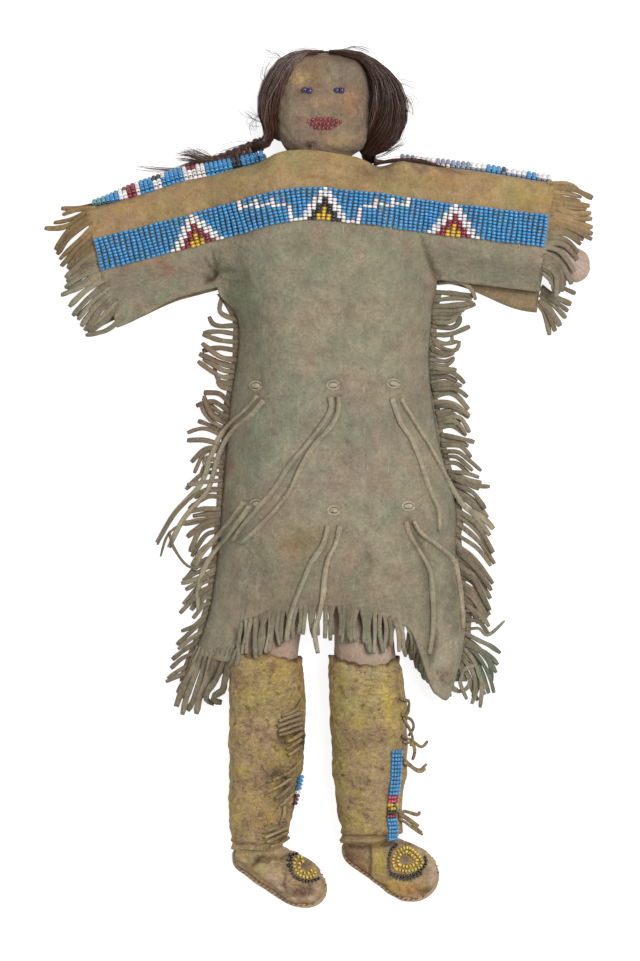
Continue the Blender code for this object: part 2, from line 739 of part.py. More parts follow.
def make_body(collection, helpers):
    """The stuffed body: torso, arms and legs sewn as one."""
    z = HIDE + 0.4 * MM + TORSO_DEEP
    torso = ((NECK_X / MM, 125.2, z / MM, 11, 8), (1.2, 119, z / MM, 21, 11.6), (1, 100, z / MM, 23, 12.9),
             (1, 60, z / MM, 22.5, 13.2), (0.5, 20, z / MM, 23.5, 13), (0, -20, z / MM, 26, 12.6),
             (0, -42, z / MM, 24.5, 11.6), (0, -50, z / MM, 17, 9))
    body = loft("body", limb_rings(torso, 12), "body_hide", collection)
    for name, arm in (("left", ARM_LEFT), ("right", ARM_RIGHT)):
        stations = []
        for i, (x, y, z) in enumerate(arm):
            share = (1.0, 0.92, 0.55)[max(0, i - len(arm) + 3)]
            stations.append((x, y, z, ARM_WIDE / MM * share, ARM_DEEP / MM * share))
        rings = limb_rings(stations, 8, side=Vector((0, 1, 0)))
        boolean(body, loft(f"arm_{name}", rings, "body_hide", helpers), "UNION")
    for name, leg in (("left", LEG_LEFT), ("right", LEG_RIGHT)):
        boolean(body, loft(f"leg_{name}", limb_rings(leg, 12), "body_hide", helpers), "UNION")


def head_rings(grow):
    """The head from its crown to the neck that runs into the collar."""
    profile = HEAD_PROFILE + ((131.5, 10.5, 8), (126.2, 9.5, 7.4))
    rings = []
    for i, (y, wide, deep) in enumerate(profile):
        end = grow if i == 0 else -grow if i == len(profile) - 1 else 0
        centre = Vector((HEAD_X, y * MM + end, HEAD_Z))
        rings.append(oval(centre, Vector((1, 0, 0)), Vector((0, 0, 1)), wide * MM + grow, deep * MM + grow, 16, 2.35))
    return rings


def make_head(collection):
    loft("head", head_rings(0.0), "face_hide", collection)


def make_hair(collection, helpers):
    """Parted hair: a cap over the crown and back, a full lock on each side, and a braid from each."""
    hair = loft("hair", head_rings(HAIR_THICK), "hair", collection)
    bpy.ops.mesh.primitive_cube_add(size=1)
    front = bpy.context.object
    front.name = "face_opening"
    front.scale = (0.08, 0.08, 0.04)
    front.rotation_euler.x = math.radians(14)
    front.location = (HEAD_X, 0.143, HEAD_Z + 20.8 * MM)
    move_to(front, helpers)
    boolean(hair, front, "DIFFERENCE")
    bpy.ops.mesh.primitive_cube_add(size=1)
    neck = bpy.context.object
    neck.name = "neck_opening"
    neck.scale = (0.06, 0.02, 0.05)
    neck.location = (HEAD_X, 0.1245, HEAD_Z)
    move_to(neck, helpers)
    boolean(hair, neck, "DIFFERENCE")
    lock_left = ((-1, 174.4, 25, 1.6, 2), (-9, 171.4, 25, 4.2, 5), (-17, 163.6, 21.5, 5.6, 8), (-20.6, 153, 18, 5.4, 9.6),
                 (-21.8, 146.5, 15.4, 4.6, 9), (-20.6, 141.4, 12.4, 3, 6), (-24.4, 138.2, 8.4, 2.6, 3.2), (-32, 136.2, 4.6, 2.5, 2.6),
                 (-43, 134.4, 3.2, 2.2, 2.2), (-53, 132.8, 2.8, 1.7, 1.7), (-64, 132, 2.2, 1.1, 1.1))
    lock_right = ((4, 174.6, 25, 1.6, 2), (13, 172.4, 24.5, 4, 5), (23, 165.8, 21.5, 6, 8.6), (27, 157, 18.5, 7.4, 11),
                  (27.8, 148, 16.5, 7.6, 11), (25, 140.6, 14.5, 6, 8.4), (21, 135.2, 11.5, 3.4, 5),
                  (23.4, 132.6, 7.4, 1.8, 2.6), (30, 131.4, 4.2, 1.4, 2.2), (39, 130, 3.2, 1.3, 1.9), (47, 128.8, 2.8, 1.1, 1.4))
    for name, lock in (("left", lock_left), ("right", lock_right)):
        made = loft(f"lock_{name}", limb_rings(lock, 8), "hair", helpers)
        boolean(hair, made, "UNION")
    boolean(hair, loft("head_room", head_rings(GAP + 0.4 * MM), "hair", helpers), "DIFFERENCE")


def move_to(obj, collection):
    for other in list(obj.users_collection):
        other.objects.unlink(obj)
    collection.objects.link(obj)


def face_height(x, y):
    """The height of the face at a place on it."""
    wide = curve_through([(p[0], p[1]) for p in HEAD_PROFILE], y)
    deep = curve_through([(p[0], p[2]) for p in HEAD_PROFILE], y)
    r = min(abs(x - HEAD_X) / wide, 0.98)
    return HEAD_Z + deep * (1 - r**2.35) ** (1 / 2.35)


EYE_BEADS = 2
EYE_Y = 156.8 * MM
EYES = {"eye_left": -5.4 * MM, "eye_right": 7.8 * MM}


def make_eyes(collection):
    """Each eye is two beads strung side by side, fused as one string."""
    for name, x in EYES.items():
        z = face_height(x, EYE_Y) + BEAD_WIDE / 2 + 0.45 * MM
        bpy.ops.mesh.primitive_cylinder_add(vertices=10, radius=BEAD_WIDE / 2, depth=EYE_BEADS * BEAD_LONG * 1.1)
        eye = bpy.context.object
        eye.name = name
        eye.rotation_euler.y = math.pi / 2
        eye.location = (x, EYE_Y, z)
        eye.data.materials.append(material("dark_beads"))
        move_to(eye, collection)


MOUTH_X = 2.3 * MM
MOUTH_Y = 145.8 * MM
MOUTH_COLUMNS = 8
MOUTH_HEIGHT = 4.6 * MM


def make_mouth(collection):
    """Short strings of beads side by side, longest in the middle, as one ribbed lens."""
    bm = bmesh.new()
    low, high = [], []
    count = 2 * MOUTH_COLUMNS
    for i in range(count + 1):
        x = MOUTH_X + (i / count - 0.5) * MOUTH_COLUMNS * 1.75 * MM
        half = MOUTH_HEIGHT / 2 * (1 - 0.75 * (2 * i / count - 1) ** 2)
        y = MOUTH_Y - 0.08 * (x - MOUTH_X)
        crest = 0.35 * MM * (i % 2)
        low.append([])
        high.append([])
        for v in (-half, 0.0, half):
            z = face_height(x, y + v)
            low[-1].append(bm.verts.new((x, y + v, z + GAP)))
            high[-1].append(bm.verts.new((x, y + v, z + 1.5 * MM + crest)))
    close_layers(bm, low, high)
    mesh_object("mouth_beads", bm, "red_beads", collection)


# Boots


def make_legging(name, stations, collection, helpers):
    """A hide tube round the leg, open at both ends, with a few strands of fringe on its outer seam."""
    left = name.endswith("left")
    low = BOOT_LOW_LEFT if left else BOOT_LOW_RIGHT
    ys = [mix(BOOT_TOP_Y, low, i / 5) for i in range(6)]
    picked = []
    for y in ys:
        picked.append([curve_through([(s[1], s[k]) for s in stations], y) / MM for k in (0, 2, 3, 4)])
    rings = [(x, y / MM, z, wide, deep) for (x, z, wide, deep), y in zip(picked, ys)]
    outer = loft(name, limb_rings(rings, 14, grow=LEG_SLACK + HIDE), "boot_hide", collection, capped=False)
    solidify(outer, HIDE)
    places = (-96, -100, -104.5, -109, -126, -130.5, -138, -142) if left else (-92, -97, -102, -116, -134.5, -138.5, -142.5)
    for number, y in enumerate(places):
        boolean(outer, legging_strand(f"{name}_strand_{number}", rings, y, left, helpers), "UNION")


def legging_strand(name, rings, y, left, helpers):
    """One strand: over the front of the left legging, or standing out from the right one's edge."""
    x_at, z_at, wide, deep = (curve_through([(s[1], s[k]) for s in rings], y * MM) for k in (0, 2, 3, 4))
    wide, deep = wide + LEG_SLACK + HIDE, deep + LEG_SLACK + HIDE
    angles = (8, 22, 38, 54) if left else (10, 8, 6, 4)
    lifts = (-0.5, 0.6, 0.7, 0.9) if left else (-0.5, 3.0, 6.0, 8.4)
    rings = []
    for k, (angle, lift) in enumerate(zip(angles, lifts)):
        a = math.radians(angle)
        radial = Vector((math.cos(a), 0, math.sin(a)))
        centre = Vector((x_at + wide * math.cos(a), y * MM - k * 0.5 * MM, z_at + deep * math.sin(a)))
        thick = 0.55 * MM
        wide_half = 1.05 * MM
        centre += radial * lift * MM
        normal = radial if left else Vector((0, 0, 1))
        rings.append(oval(centre, Vector((0, 1, 0)), normal, wide_half * 1.2, thick * 1.3, 4, 2.0))
    return loft(name, rings, "boot_hide", helpers)


def foot_frame():
    up = (FOOT_UP - FOOT_UP.project(FOOT_AXIS)).normalized()
    return FOOT_AXIS, FOOT_AXIS.cross(up), up


FOOT_STATIONS = ((0.0, 4.0, 5.0), (0.06, 6.4, 7.6), (0.2, 8.2, 10.4), (0.4, 8.9, 11.8), (0.6, 9.3, 11.0),
                 (0.78, 8.8, 9.2), (0.91, 6.6, 6.8), (1.0, 3.0, 3.6))


def foot_size(share):
    """Half the width and the height of the foot at a share of its length."""
    along = share * FOOT_LONG
    wide = curve_through([(s[0] * FOOT_LONG / MM, s[1]) for s in FOOT_STATIONS], along)
    high = curve_through([(s[0] * FOOT_LONG / MM, s[2]) for s in FOOT_STATIONS], along)
    return wide, high


def foot_point(heel, share, side_share, lift=0.0):
    """A point on the foot's upper: side_share runs from -1 to 1 across it."""
    axis, side, up = foot_frame()
    wide, high = foot_size(share)
    height = high * math.sqrt(max(0.0, 1 - side_share**2)) ** 0.8
    return heel + axis * share * FOOT_LONG + side * wide * side_share + up * (height + lift)


def make_moccasin(name, heel, ankle, collection, helpers):
    """A soft upper round a stuffed foot, rising to meet the legging."""
    axis, side, up = foot_frame()
    rings = []
    for share, wide, high in FOOT_STATIONS:
        centre = heel + axis * share * FOOT_LONG
        ring = []
        for i in range(12):
            angle = math.radians(-12 + 204 * i / 11)
            c, s = math.cos(angle), max(math.sin(angle), 0.0)
            ring.append(centre + side * wide * MM * c + up * high * MM * s**0.8)
        rings.append(ring)
    upper = loft(name, rings, "boot_hide", collection)
    x, y, z, wide, deep = (value * MM for value in ankle)
    foot_middle = heel + axis * 0.22 * FOOT_LONG + up * 8.5 * MM
    across, high = Vector((1, 0, 0)), Vector((0, 0, 1))
    ankle_rings = [oval(Vector((x, y, z)), across, high, wide, deep, 12, LIMB_POWER),
                   oval(foot_middle, across, high, 7.5 * MM, 5 * MM, 12, LIMB_POWER)]
    boolean(upper, loft(f"{name}_ankle", ankle_rings, "boot_hide", helpers), "UNION")


def make_sole(name, heel, collection):
    """A stiff sole under the upper."""
    axis, side, up = foot_frame()
    bm = bmesh.new()
    low, high = [], []
    for share in (0.0, 0.08, 0.25, 0.5, 0.75, 0.92, 1.0):
        wide, _ = foot_size(share)
        wide += 0.6 * MM
        at = heel + axis * (mix(-0.9, 0.9, share) * MM + share * FOOT_LONG)
        for layer, drop in ((low, GAP + SOLE), (high, GAP)):
            layer.append([bm.verts.new(at + side * wide * w - up * drop) for w in (-1, 0, 1)])
    close_layers(bm, low, high)
    mesh_object(name, bm, "sole_hide", collection)


TOE_RING_AT = 0.68
TOE_RING_ASIDE = -0.26


def make_toe_rings(side_name, heel, collection):
    """A yellow ring of beads on the vamp, with a dark row round it."""
    for look, name, along, across, thick in (
        ("yellow_beads", "toe_beads_yellow", 0.115, 0.46, 2.4 * MM),
        ("dark_beads", "toe_beads_dark", 0.175, 0.70, 1.6 * MM),
    ):
        count = 14
        points = []
        for i in range(count):
            angle = 2 * math.pi * i / count
            points.append(foot_point(heel, TOE_RING_AT + along * math.cos(angle), TOE_RING_ASIDE + across * math.sin(angle),
                                     thick / 2 + 0.9 * MM))
        ring = tube(f"{name}_{side_name}", points, thick, look, collection, resolution=0)
        ring.data.splines[0].use_cyclic_u = True
        ring.data.use_fill_caps = False


def make_legging_lane(name, stations, angle_degrees, top, bottom, collection):
    """A narrow bead lane down the front of a legging."""
    bm = bmesh.new()
    low, high = [], []
    half = 3 * BEAD_LONG / 2
    count = 8
    for i in range(count + 1):
        y = mix(top, bottom, i / count)
        x_at, z_at, wide, deep = (curve_through([(s[1], s[k]) for s in stations], y) for k in (0, 2, 3, 4))
        grow = LEG_SLACK + HIDE
        low.append([])
        high.append([])
        for share in (-1, 0, 1):
            a = math.radians(angle_degrees) - share * half / (wide + grow)
            radial = Vector((math.cos(a), 0, math.sin(a)))
            base = Vector((x_at + (wide + grow) * math.cos(a), y, z_at + (deep + grow) * math.sin(a)))
            low[-1].append(bm.verts.new(base + radial * 0.9 * MM))
            high[-1].append(bm.verts.new(base + radial * (0.7 * MM + LANE_THICK)))
    close_layers(bm, low, high)
    mesh_object(name, bm, "blue_beads", collection)


def clear_scene():
    for obj in list(bpy.data.objects):
        bpy.data.objects.remove(obj, do_unlink=True)


def main():
    clear_scene()
    doll = bpy.data.collections.new("beaded_hide_doll")
    helpers = bpy.data.collections.new("helpers")
    bpy.context.scene.collection.children.link(doll)
    bpy.context.scene.collection.children.link(helpers)
    make_dress_front(doll)
    make_dress_back(doll)
    make_side_fringe("side_fringe_left", True, doll)
    make_side_fringe("side_fringe_right", False, doll)
    make_front_lane(doll)
    make_shoulder_lane("shoulder_bead_lane_left", SLEEVE_LEFT + 1 * MM, -27 * MM, doll)
    make_shoulder_lane("shoulder_bead_lane_right", 50 * MM, SLEEVE_RIGHT - 1 * MM, doll)
    make_ties(doll)
    make_body(doll, helpers)
    make_head(doll)
    make_hair(doll, helpers)
    make_eyes(doll)
    make_mouth(doll)
    for side, stations, heel in (("left", LEG_LEFT, HEEL_LEFT), ("right", LEG_RIGHT, HEEL_RIGHT)):
        make_legging(f"legging_{side}", stations, doll, helpers)
        x, _, z, wide, deep = stations[-1]
        low = BOOT_LOW_LEFT if side == "left" else BOOT_LOW_RIGHT
        make_moccasin(f"moccasin_{side}", heel, (x, low / MM - 0.4, z, wide, deep), doll, helpers)
        make_sole(f"sole_{side}", heel, doll)
        make_toe_rings(side, heel, doll)
    make_legging_lane("legging_bead_lane_right", LEG_RIGHT, 48, -111 * MM, -147 * MM, doll)
    make_legging_lane("legging_bead_lane_left", LEG_LEFT, 22, -114 * MM, -124 * MM, doll)


main()
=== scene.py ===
"""The looks of a beaded hide doll that lies on its back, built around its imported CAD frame.

X runs to the viewer's right, Y towards the head and Z up. Left and right are as seen from the front.
Lengths are in millimetres here, and mesh_piece turns them into metres.
"""
import math

import bpy
import numpy as np
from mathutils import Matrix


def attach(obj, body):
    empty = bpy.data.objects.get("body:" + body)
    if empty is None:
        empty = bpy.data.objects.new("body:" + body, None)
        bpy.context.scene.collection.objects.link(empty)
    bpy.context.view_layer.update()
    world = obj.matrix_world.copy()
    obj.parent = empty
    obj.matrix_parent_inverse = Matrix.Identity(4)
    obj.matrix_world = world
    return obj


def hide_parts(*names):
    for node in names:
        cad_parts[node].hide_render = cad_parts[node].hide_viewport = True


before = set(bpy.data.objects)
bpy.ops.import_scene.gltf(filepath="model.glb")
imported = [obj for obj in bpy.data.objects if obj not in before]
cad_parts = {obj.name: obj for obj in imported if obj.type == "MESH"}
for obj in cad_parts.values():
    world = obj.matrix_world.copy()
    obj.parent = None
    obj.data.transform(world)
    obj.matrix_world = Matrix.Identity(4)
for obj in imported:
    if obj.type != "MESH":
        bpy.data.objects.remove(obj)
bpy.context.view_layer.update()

MM = 0.001

# The photograph's frame: its scale is measured at the height of the doll's breast
PHOTO_WIDE = 640
PHOTO_HIGH = 961
PHOTO_SCALE = 0.41
PHOTO_ORIGIN = (320, 478)
VIEW_DISTANCE = 1700
VIEW_HEIGHT = 14

# Hide and bead sizes
HIDE = 1.2
SOLE = 1.5
BEAD_WIDE = 2.1
BEAD_LONG = 1.45
THONG = 2.2
STRAND_WIDE = 2.3
STRAND_THICK = 1.1
SLEEVE_FRINGE_DROP = 7.0

# Grid steps of the two hides, and voxel sizes of the pieces that are fused from several solids
FRONT_STEP = 0.88
BACK_STEP = 2.2
BODY_VOXEL = 2.1
HEAD_VOXEL = 0.75
HAIR_VOXEL = 1.0
UPPER_VOXEL = 0.62

# The shoulder line, which the front bead lane follows
CREST_X = -5.0
CREST_Y = 111.4
CREST_ROUND = 10.0
SLOPE_LEFT = 0.266
SLOPE_RIGHT = 0.118
SLEEVE_LEFT = -91.4
SLEEVE_RIGHT = 93.4
SLEEVE_BELOW = 24.5
SLEEVE_SAG = 5.5
YOKE_ABOVE = 19.5
YOKE_SWAY = 1.8
COLLAR_RISE = 1.9

# The dress, as it lies over the body
ARMPIT_LEFT = -48.3
ARMPIT_RIGHT = 51.0
CHEST_TOP = 31.0
HEM_TOP = 29.0
SLEEVE_TOP = 19.0
SIDE_EDGE = 4.2
SHOULDER_EDGE = 2.6
COLLAR_EDGE = 29.4
NECK_X = 1.5
NECK_HALF = 21.0
SHOULDER_RUN_LEFT = 7.0
SHOULDER_RUN_RIGHT = 3.0
BODY_X = 1.0
SIDE_POWER = 3.4
SIDE_LEFT = ((80, -42.2), (63, -33.5), (30, -37), (-30, -42), (-56, -46), (-80, -55))
SIDE_RIGHT = ((82, 48.2), (64, 45.9), (45, 45), (15, 49), (-12, 56), (-32, 56), (-60, 60), (-90, 57))
HEM_Y = -52.0
HEM_MID_X = 1.8
HEM_FRINGE = 12.5

# Body, head and boots
TORSO_DEEP = 13.2
ARM_WIDE = 7.4
ARM_DEEP = 6.6
LEG_LEFT = ((-13, -38, 14.2, 12, 11), (-19.5, -58, 12.8, 12.6, 11), (-21.9, -75, 14.4, 13.0, 11.9),
            (-21.5, -95, 14.2, 13.8, 12), (-22.4, -121, 13.4, 13.0, 11.4), (-24.7, -140, 12.6, 10.8, 10),
            (-25.0, -147, 12.4, 9.8, 9.4))
LEG_RIGHT = ((14, -38, 14.2, 12, 11), (18.0, -58, 12.6, 12.4, 11), (18.3, -75, 14.4, 12.8, 11.9),
             (19.7, -93, 14.2, 13.9, 12), (20.4, -121, 13.4, 13.0, 11.4), (20.2, -138, 12.6, 11.2, 10.2),
             (21.4, -142.4, 12.4, 10.6, 10))
ARM_LEFT = ((-18, 107.5, 13.6), (-30, 104.4, 12.4), (-48, 100.6, 10), (-66, 95.4, 9), (-84, 89.4, 8.8),
            (-89, 87.8, 8.6), (-91.5, 87, 8.6))
ARM_RIGHT = ((20, 108.2, 13.6), (32, 106, 12.4), (50, 103.2, 10), (72, 98, 9), (94, 92, 8.4),
             (104, 87.6, 8.2), (109, 85.0, 8.2), (111.0, 84.2, 8.2))
BOOT_TOP_Y = -73.0
BOOT_LOW = {"left": -146.8, "right": -143.6}
LEG_SLACK = 0.7
LIMB_POWER = 2.2
HEAD_X = 1.4
HEAD_Z = 16.6
HEAD_POWER = 2.35
HEAD_PROFILE = ((173.6, 8, 5), (172.0, 12.6, 9), (168.3, 16.3, 12), (162.4, 18.4, 13.4), (154, 19.1, 14),
                (146, 19, 14), (139.5, 18.2, 13), (134.8, 15.6, 10.6), (131.5, 10.5, 8), (126.2, 9.5, 7.4))
HAIR_THICK = 2.0
FOOT_LONG = 40.5
FOOT_AXIS = {"left": np.array((0.855, -0.47, 0.20)), "right": np.array((0.875, -0.44, 0.20))}
FOOT_UP = np.array((0.2, 0.5, 0.85))
HEELS = {"left": np.array((-33.8, -152.4, 5.6)), "right": np.array((11.2, -149.6, 5.6))}
FOOT_STATIONS = {
    "left": ((0.0, 5.4, 5.0), (0.06, 6.8, 7.6), (0.2, 8.0, 10.4), (0.4, 8.8, 11.6), (0.6, 9.5, 11.0),
             (0.78, 9.8, 10.0), (0.91, 9.4, 9.0), (1.0, 9.0, 8.4)),
    "right": ((0.0, 5.4, 5.0), (0.06, 6.8, 7.6), (0.2, 8.2, 10.4), (0.4, 9.4, 11.8), (0.6, 11.0, 11.2),
              (0.78, 11.8, 10.4), (0.92, 11.8, 9.6), (1.0, 11.6, 9.0)),
}


# Numbers and curves


def smooth(t):
    t = np.clip(t, 0.0, 1.0)
    return t * t * (3 - 2 * t)


def mix(a, b, t):
    return a + (b - a) * t


def on_photo(px, py):
    """The place in millimetres that a pixel of the photograph shows."""
    return (px - PHOTO_ORIGIN[0]) * PHOTO_SCALE, (PHOTO_ORIGIN[1] - py) * PHOTO_SCALE


def curve_through(points, at):
    """The smooth line through (t, value) points, read at an array of t."""
    knots = np.array(sorted(points), float)
    t, value = knots[:, 0], knots[:, 1]
    at = np.clip(at, t[0], t[-1])
    i = np.clip(np.searchsorted(t, at, side="right") - 1, 0, len(t) - 2)
    before, after = np.maximum(i - 1, 0), np.minimum(i + 2, len(t) - 1)
    span = t[i + 1] - t[i]
    s = (at - t[i]) / span
    m0 = (value[i + 1] - value[before]) / (t[i + 1] - t[before]) * span
    m1 = (value[after] - value[i]) / (t[after] - t[i]) * span
    found = (2 * s**3 - 3 * s**2 + 1) * value[i] + (s**3 - 2 * s**2 + s) * m0
    return found + (3 * s**2 - 2 * s**3) * value[i + 1] + (s**3 - s**2) * m1


def route_through(places, count, fine=12):
    """Count points, evenly spaced, on the smooth curve through given places."""
    p = np.array(places, float)
    p = np.vstack([p[:1], p, p[-1:]])
    t = np.linspace(0, 1, fine, endpoint=False)[:, None]
    runs = []
    for p0, p1, p2, p3 in zip(p, p[1:], p[2:], p[3:]):
        bend = 2 * p0 - 5 * p1 + 4 * p2 - p3
        runs.append(0.5 * (2 * p1 + (p2 - p0) * t + bend * t**2 + (3 * p1 - p0 - 3 * p2 + p3) * t**3))
    line = np.vstack([*runs, p[-1:]])
    along = np.concatenate([[0], np.cumsum(np.linalg.norm(np.diff(line, axis=0), axis=1))])
    even = np.linspace(0, along[-1], count)
    return np.stack([np.interp(even, along, line[:, k]) for k in range(line.shape[1])], -1)


def ripple(points, size, seed, waves=9):
    """Smooth unevenness between about -1 and 1, with features about size across."""
    dice = np.random.default_rng(seed)
    points = np.asarray(points, float)
    total = np.zeros(points.shape[:-1])
    for _ in range(waves):
        way = dice.normal(size=points.shape[-1])
        way *= 2 * math.pi / (size * dice.uniform(0.8, 2.2) * np.linalg.norm(way))
        total += np.sin(points @ way + dice.uniform(0, 2 * math.pi))
    return total / math.sqrt(waves)


def unit(v):
    return v / np.maximum(np.linalg.norm(v, axis=-1, keepdims=True), 1e-9)


def near_line(points, places):
    """The distance of each x, y point from a line through places, and the share of the way along it."""
    line = np.array(places, float)
    best = np.full(points.shape[:-1], 1e9)
    along = np.zeros(points.shape[:-1])
    for k, (a, b) in enumerate(zip(line, line[1:])):
        run = b - a
        t = np.clip((points - a) @ run / (run @ run), 0, 1)
        away = np.linalg.norm(points - a - t[..., None] * run, axis=-1)
        along = np.where(away < best, (k + t) / (len(line) - 1), along)
        best = np.minimum(best, away)
    return best, along


# The dress as a surface


def shoulder_line(x):
    run = x - CREST_X
    slope = np.where(run < 0, SLOPE_LEFT, SLOPE_RIGHT)
    return CREST_Y - slope * (np.hypot(run, CREST_ROUND) - CREST_ROUND)


def shoulder_normal(x):
    run = x - CREST_X
    slope = np.where(run < 0, SLOPE_LEFT, SLOPE_RIGHT)
    fall = -slope * run / np.hypot(run, CREST_ROUND)
    length = np.hypot(1, fall)
    return -fall / length, 1 / length


def off_line(x, v):
    """The point at distance v above the shoulder line, square to it at x."""
    nx, ny = shoulder_normal(x)
    return x + nx * v, shoulder_line(x) + ny * v


def line_place(x, y):
    """The foot on the shoulder line of a point, and how far above the line the point is."""
    foot, v = x, y - shoulder_line(x)
    for _ in range(6):
        nx, ny = shoulder_normal(foot)
        v = (y - shoulder_line(foot)) / ny
        foot = x - nx * v
    return foot, v


def yoke_edge(x):
    """How far the shoulder's far edge is above the shoulder line."""
    collar = COLLAR_RISE * (1 - smooth((np.abs(x - BODY_X) - 10) / 11))
    right = 4.4 * smooth((x - 20) / 12) - 1.2 * smooth((x - 62) / 30)
    hump = 1.2 * np.exp(-(((x + 52) / 12) ** 2))
    return YOKE_ABOVE - YOKE_SWAY * np.tanh((x - BODY_X) / 20) + collar + right + hump


def shoulder_run(x):
    return mix(SHOULDER_RUN_LEFT, SHOULDER_RUN_RIGHT, smooth((x + NECK_HALF) / (2 * NECK_HALF)))


def edge_height(x):
    """The dress's height along its far edge: low at the shoulders, high at the collar."""
    away = np.abs(x - NECK_X)
    return mix(COLLAR_EDGE, SHOULDER_EDGE, smooth((away - 0.72 * NECK_HALF) / (0.5 * NECK_HALF)))


def ridge_height(x):
    return mix(CHEST_TOP, SLEEVE_TOP, smooth((np.abs(x - BODY_X) - 21) / 26))


def upper_height(foot, v):
    top, run = yoke_edge(foot), shoulder_run(foot)
    t = np.clip((top - v) / run, 0.0, 1.0)
    rise = np.sqrt(1 - (1 - t) ** 2)
    start = -1 - np.where(foot > 0, 0.09, 0.05) * np.abs(foot) - 3
    fall = smooth((start - v) / (SLEEVE_BELOW + start))
    out = smooth((np.abs(foot - BODY_X) - 34) / 14)
    return mix(edge_height(foot), mix(ridge_height(foot), 7, out * fall), rise)


def side_x(y, left):
    return curve_through(SIDE_LEFT if left else SIDE_RIGHT, y)


def torso_height(x, y):
    half = np.where(x < BODY_X, BODY_X - side_x(y, True), side_x(y, False) - BODY_X)
    r = np.minimum(np.abs(x - BODY_X) / half, 1.0)
    return mix(mix(CHEST_TOP, HEM_TOP, smooth((70 - y) / 120)), SIDE_EDGE, r**SIDE_POWER)


def dress_height(x, y):
    """The height of the front hide's outer face, without its folds."""
    foot, v = line_place(x, y)
    return mix(torso_height(x, y), upper_height(foot, v), smooth((v + 34) / 12))


def hem_y(x):
    """The hem's edge: a shallow arch that drops to a torn corner at each side."""
    right = 20 * smooth((x - 36) / 12) - 30 * smooth((x - 51.5) / 10)
    left = 11 * smooth((-31.5 - x) / 2.5) * (1 - smooth((-36 - x) / 16))
    return HEM_Y - 0.0078 * (x - HEM_MID_X) ** 2 - right - left


def sleeve_low(foot):
    """How far the front hide's sleeve reaches below the shoulder line."""
    return SLEEVE_BELOW + SLEEVE_SAG * smooth((-62 - foot) / 30)


def back_sleeve_low(foot):
    """The back hide hangs out below the right sleeve and barely shows below the left one."""
    left = (SLEEVE_SAG - 1.4) * smooth((-62 - foot) / 30)
    return SLEEVE_BELOW + 0.8 + left + 7.5 * smooth((foot - 56) / 34)


def surface_normal(height, x, y, step=0.5):
    slope_x = (height(x + step, y) - height(x - step, y)) / (2 * step)
    slope_y = (height(x, y + step) - height(x, y - step)) / (2 * step)
    return unit(np.stack([-slope_x, -slope_y, np.ones_like(slope_x)], -1))


# Folds in the front hide: depth, half width, and the line of each through pixels of the photograph.
# A negative depth is a crease.
FOLDS = (
    (-1.6, 0.8, ((214.5, 276), (214.5, 262), (214, 250))),
    (-1.2, 0.8, ((216, 272), (219, 260), (221, 250))), (-1.4, 0.8, ((216, 272), (224, 270), (236, 271))),
    (-1.0, 1.2, ((215, 272), (228, 276), (244, 279))), (-1.4, 0.8, ((214, 273), (209, 266), (204, 258))),
    (-2.0, 1.5, ((214, 271), (211, 277), (203, 283))), (-0.9, 1.4, ((216, 274), (224, 288), (236, 306))),
    (1.0, 2.6, ((220, 262), (229, 264), (240, 264))), (0.8, 2.6, ((206, 270), (198, 274), (188, 276))),
    (0.8, 2.8, ((222, 280), (230, 292), (240, 306))),
    (-1.8, 1.1, ((438, 279), (431, 268), (425, 250), (421, 234), (416, 228))),
    (-1.0, 1.3, ((437, 278), (444, 268), (455, 258))), (-0.7, 1.5, ((432, 284), (424, 300), (418, 322))),
    (1.2, 3.0, ((443, 274), (436, 258), (430, 240))), (0.8, 2.4, ((422, 278), (418, 262), (414, 244))),
    (-0.7, 1.0, ((470, 232), (476, 250), (480, 268))), (0.5, 1.4, ((474, 230), (481, 250), (484, 270))),
    (-0.5, 1.0, ((500, 240), (506, 256), (510, 272))),
    (0.9, 4.0, ((255, 420), (262, 470), (258, 520), (246, 580))),
    (-0.6, 2.2, ((240, 430), (246, 480), (242, 540))), (0.8, 5.0, ((330, 530), (332, 570), (328, 600))),
    (-1.9, 3.0, ((408, 520), (424, 560), (431, 600), (431, 640), (429, 664))),
    (-0.9, 0.8, ((438, 669), (446, 673), (456, 670))), (-0.9, 0.8, ((440, 677), (448, 681), (456, 678))),
    (-0.7, 0.7, ((443, 685), (449, 687), (454, 685))), (1.0, 3.4, ((420, 560), (438, 600), (444, 632))),
    (1.4, 5.0, ((448, 640), (451, 658), (448, 678))), (-0.9, 1.4, ((436, 630), (432, 650), (430, 668))),
    (-0.8, 1.2, ((446, 632), (450, 630), (458, 632))), (-0.8, 2.0, ((458, 500), (457, 540), (456, 570))),
    (-0.7, 2.4, ((232, 560), (226, 600), (214, 640))), (0.7, 3.0, ((240, 600), (230, 630), (222, 652))),
    (0.6, 4.0, ((300, 262), (340, 268), (380, 262))), (-0.4, 1.4, ((300, 178), (330, 182), (352, 179))),
    (-0.5, 1.5, ((372, 170), (380, 177), (396, 180))),
)


def relief(points):
    """How far the front hide's folds stand above its plain surface."""
    rise = 0.45 * ripple(points, 34, 3) + 0.2 * ripple(points, 9, 4) + 0.1 * ripple(points, 3.6, 5)
    for depth, half, places in FOLDS:
        away, along = near_line(points, [on_photo(*p) for p in places])
        rise += depth * np.exp(-((away / half) ** 2)) * smooth(1.15 - along) * smooth(along * 5 + 0.5)
    return rise


def dress_top(x, y):
    """The height of the front hide with its folds."""
    return dress_height(x, y) + relief(np.stack([x, y], -1))


# Mesh helpers


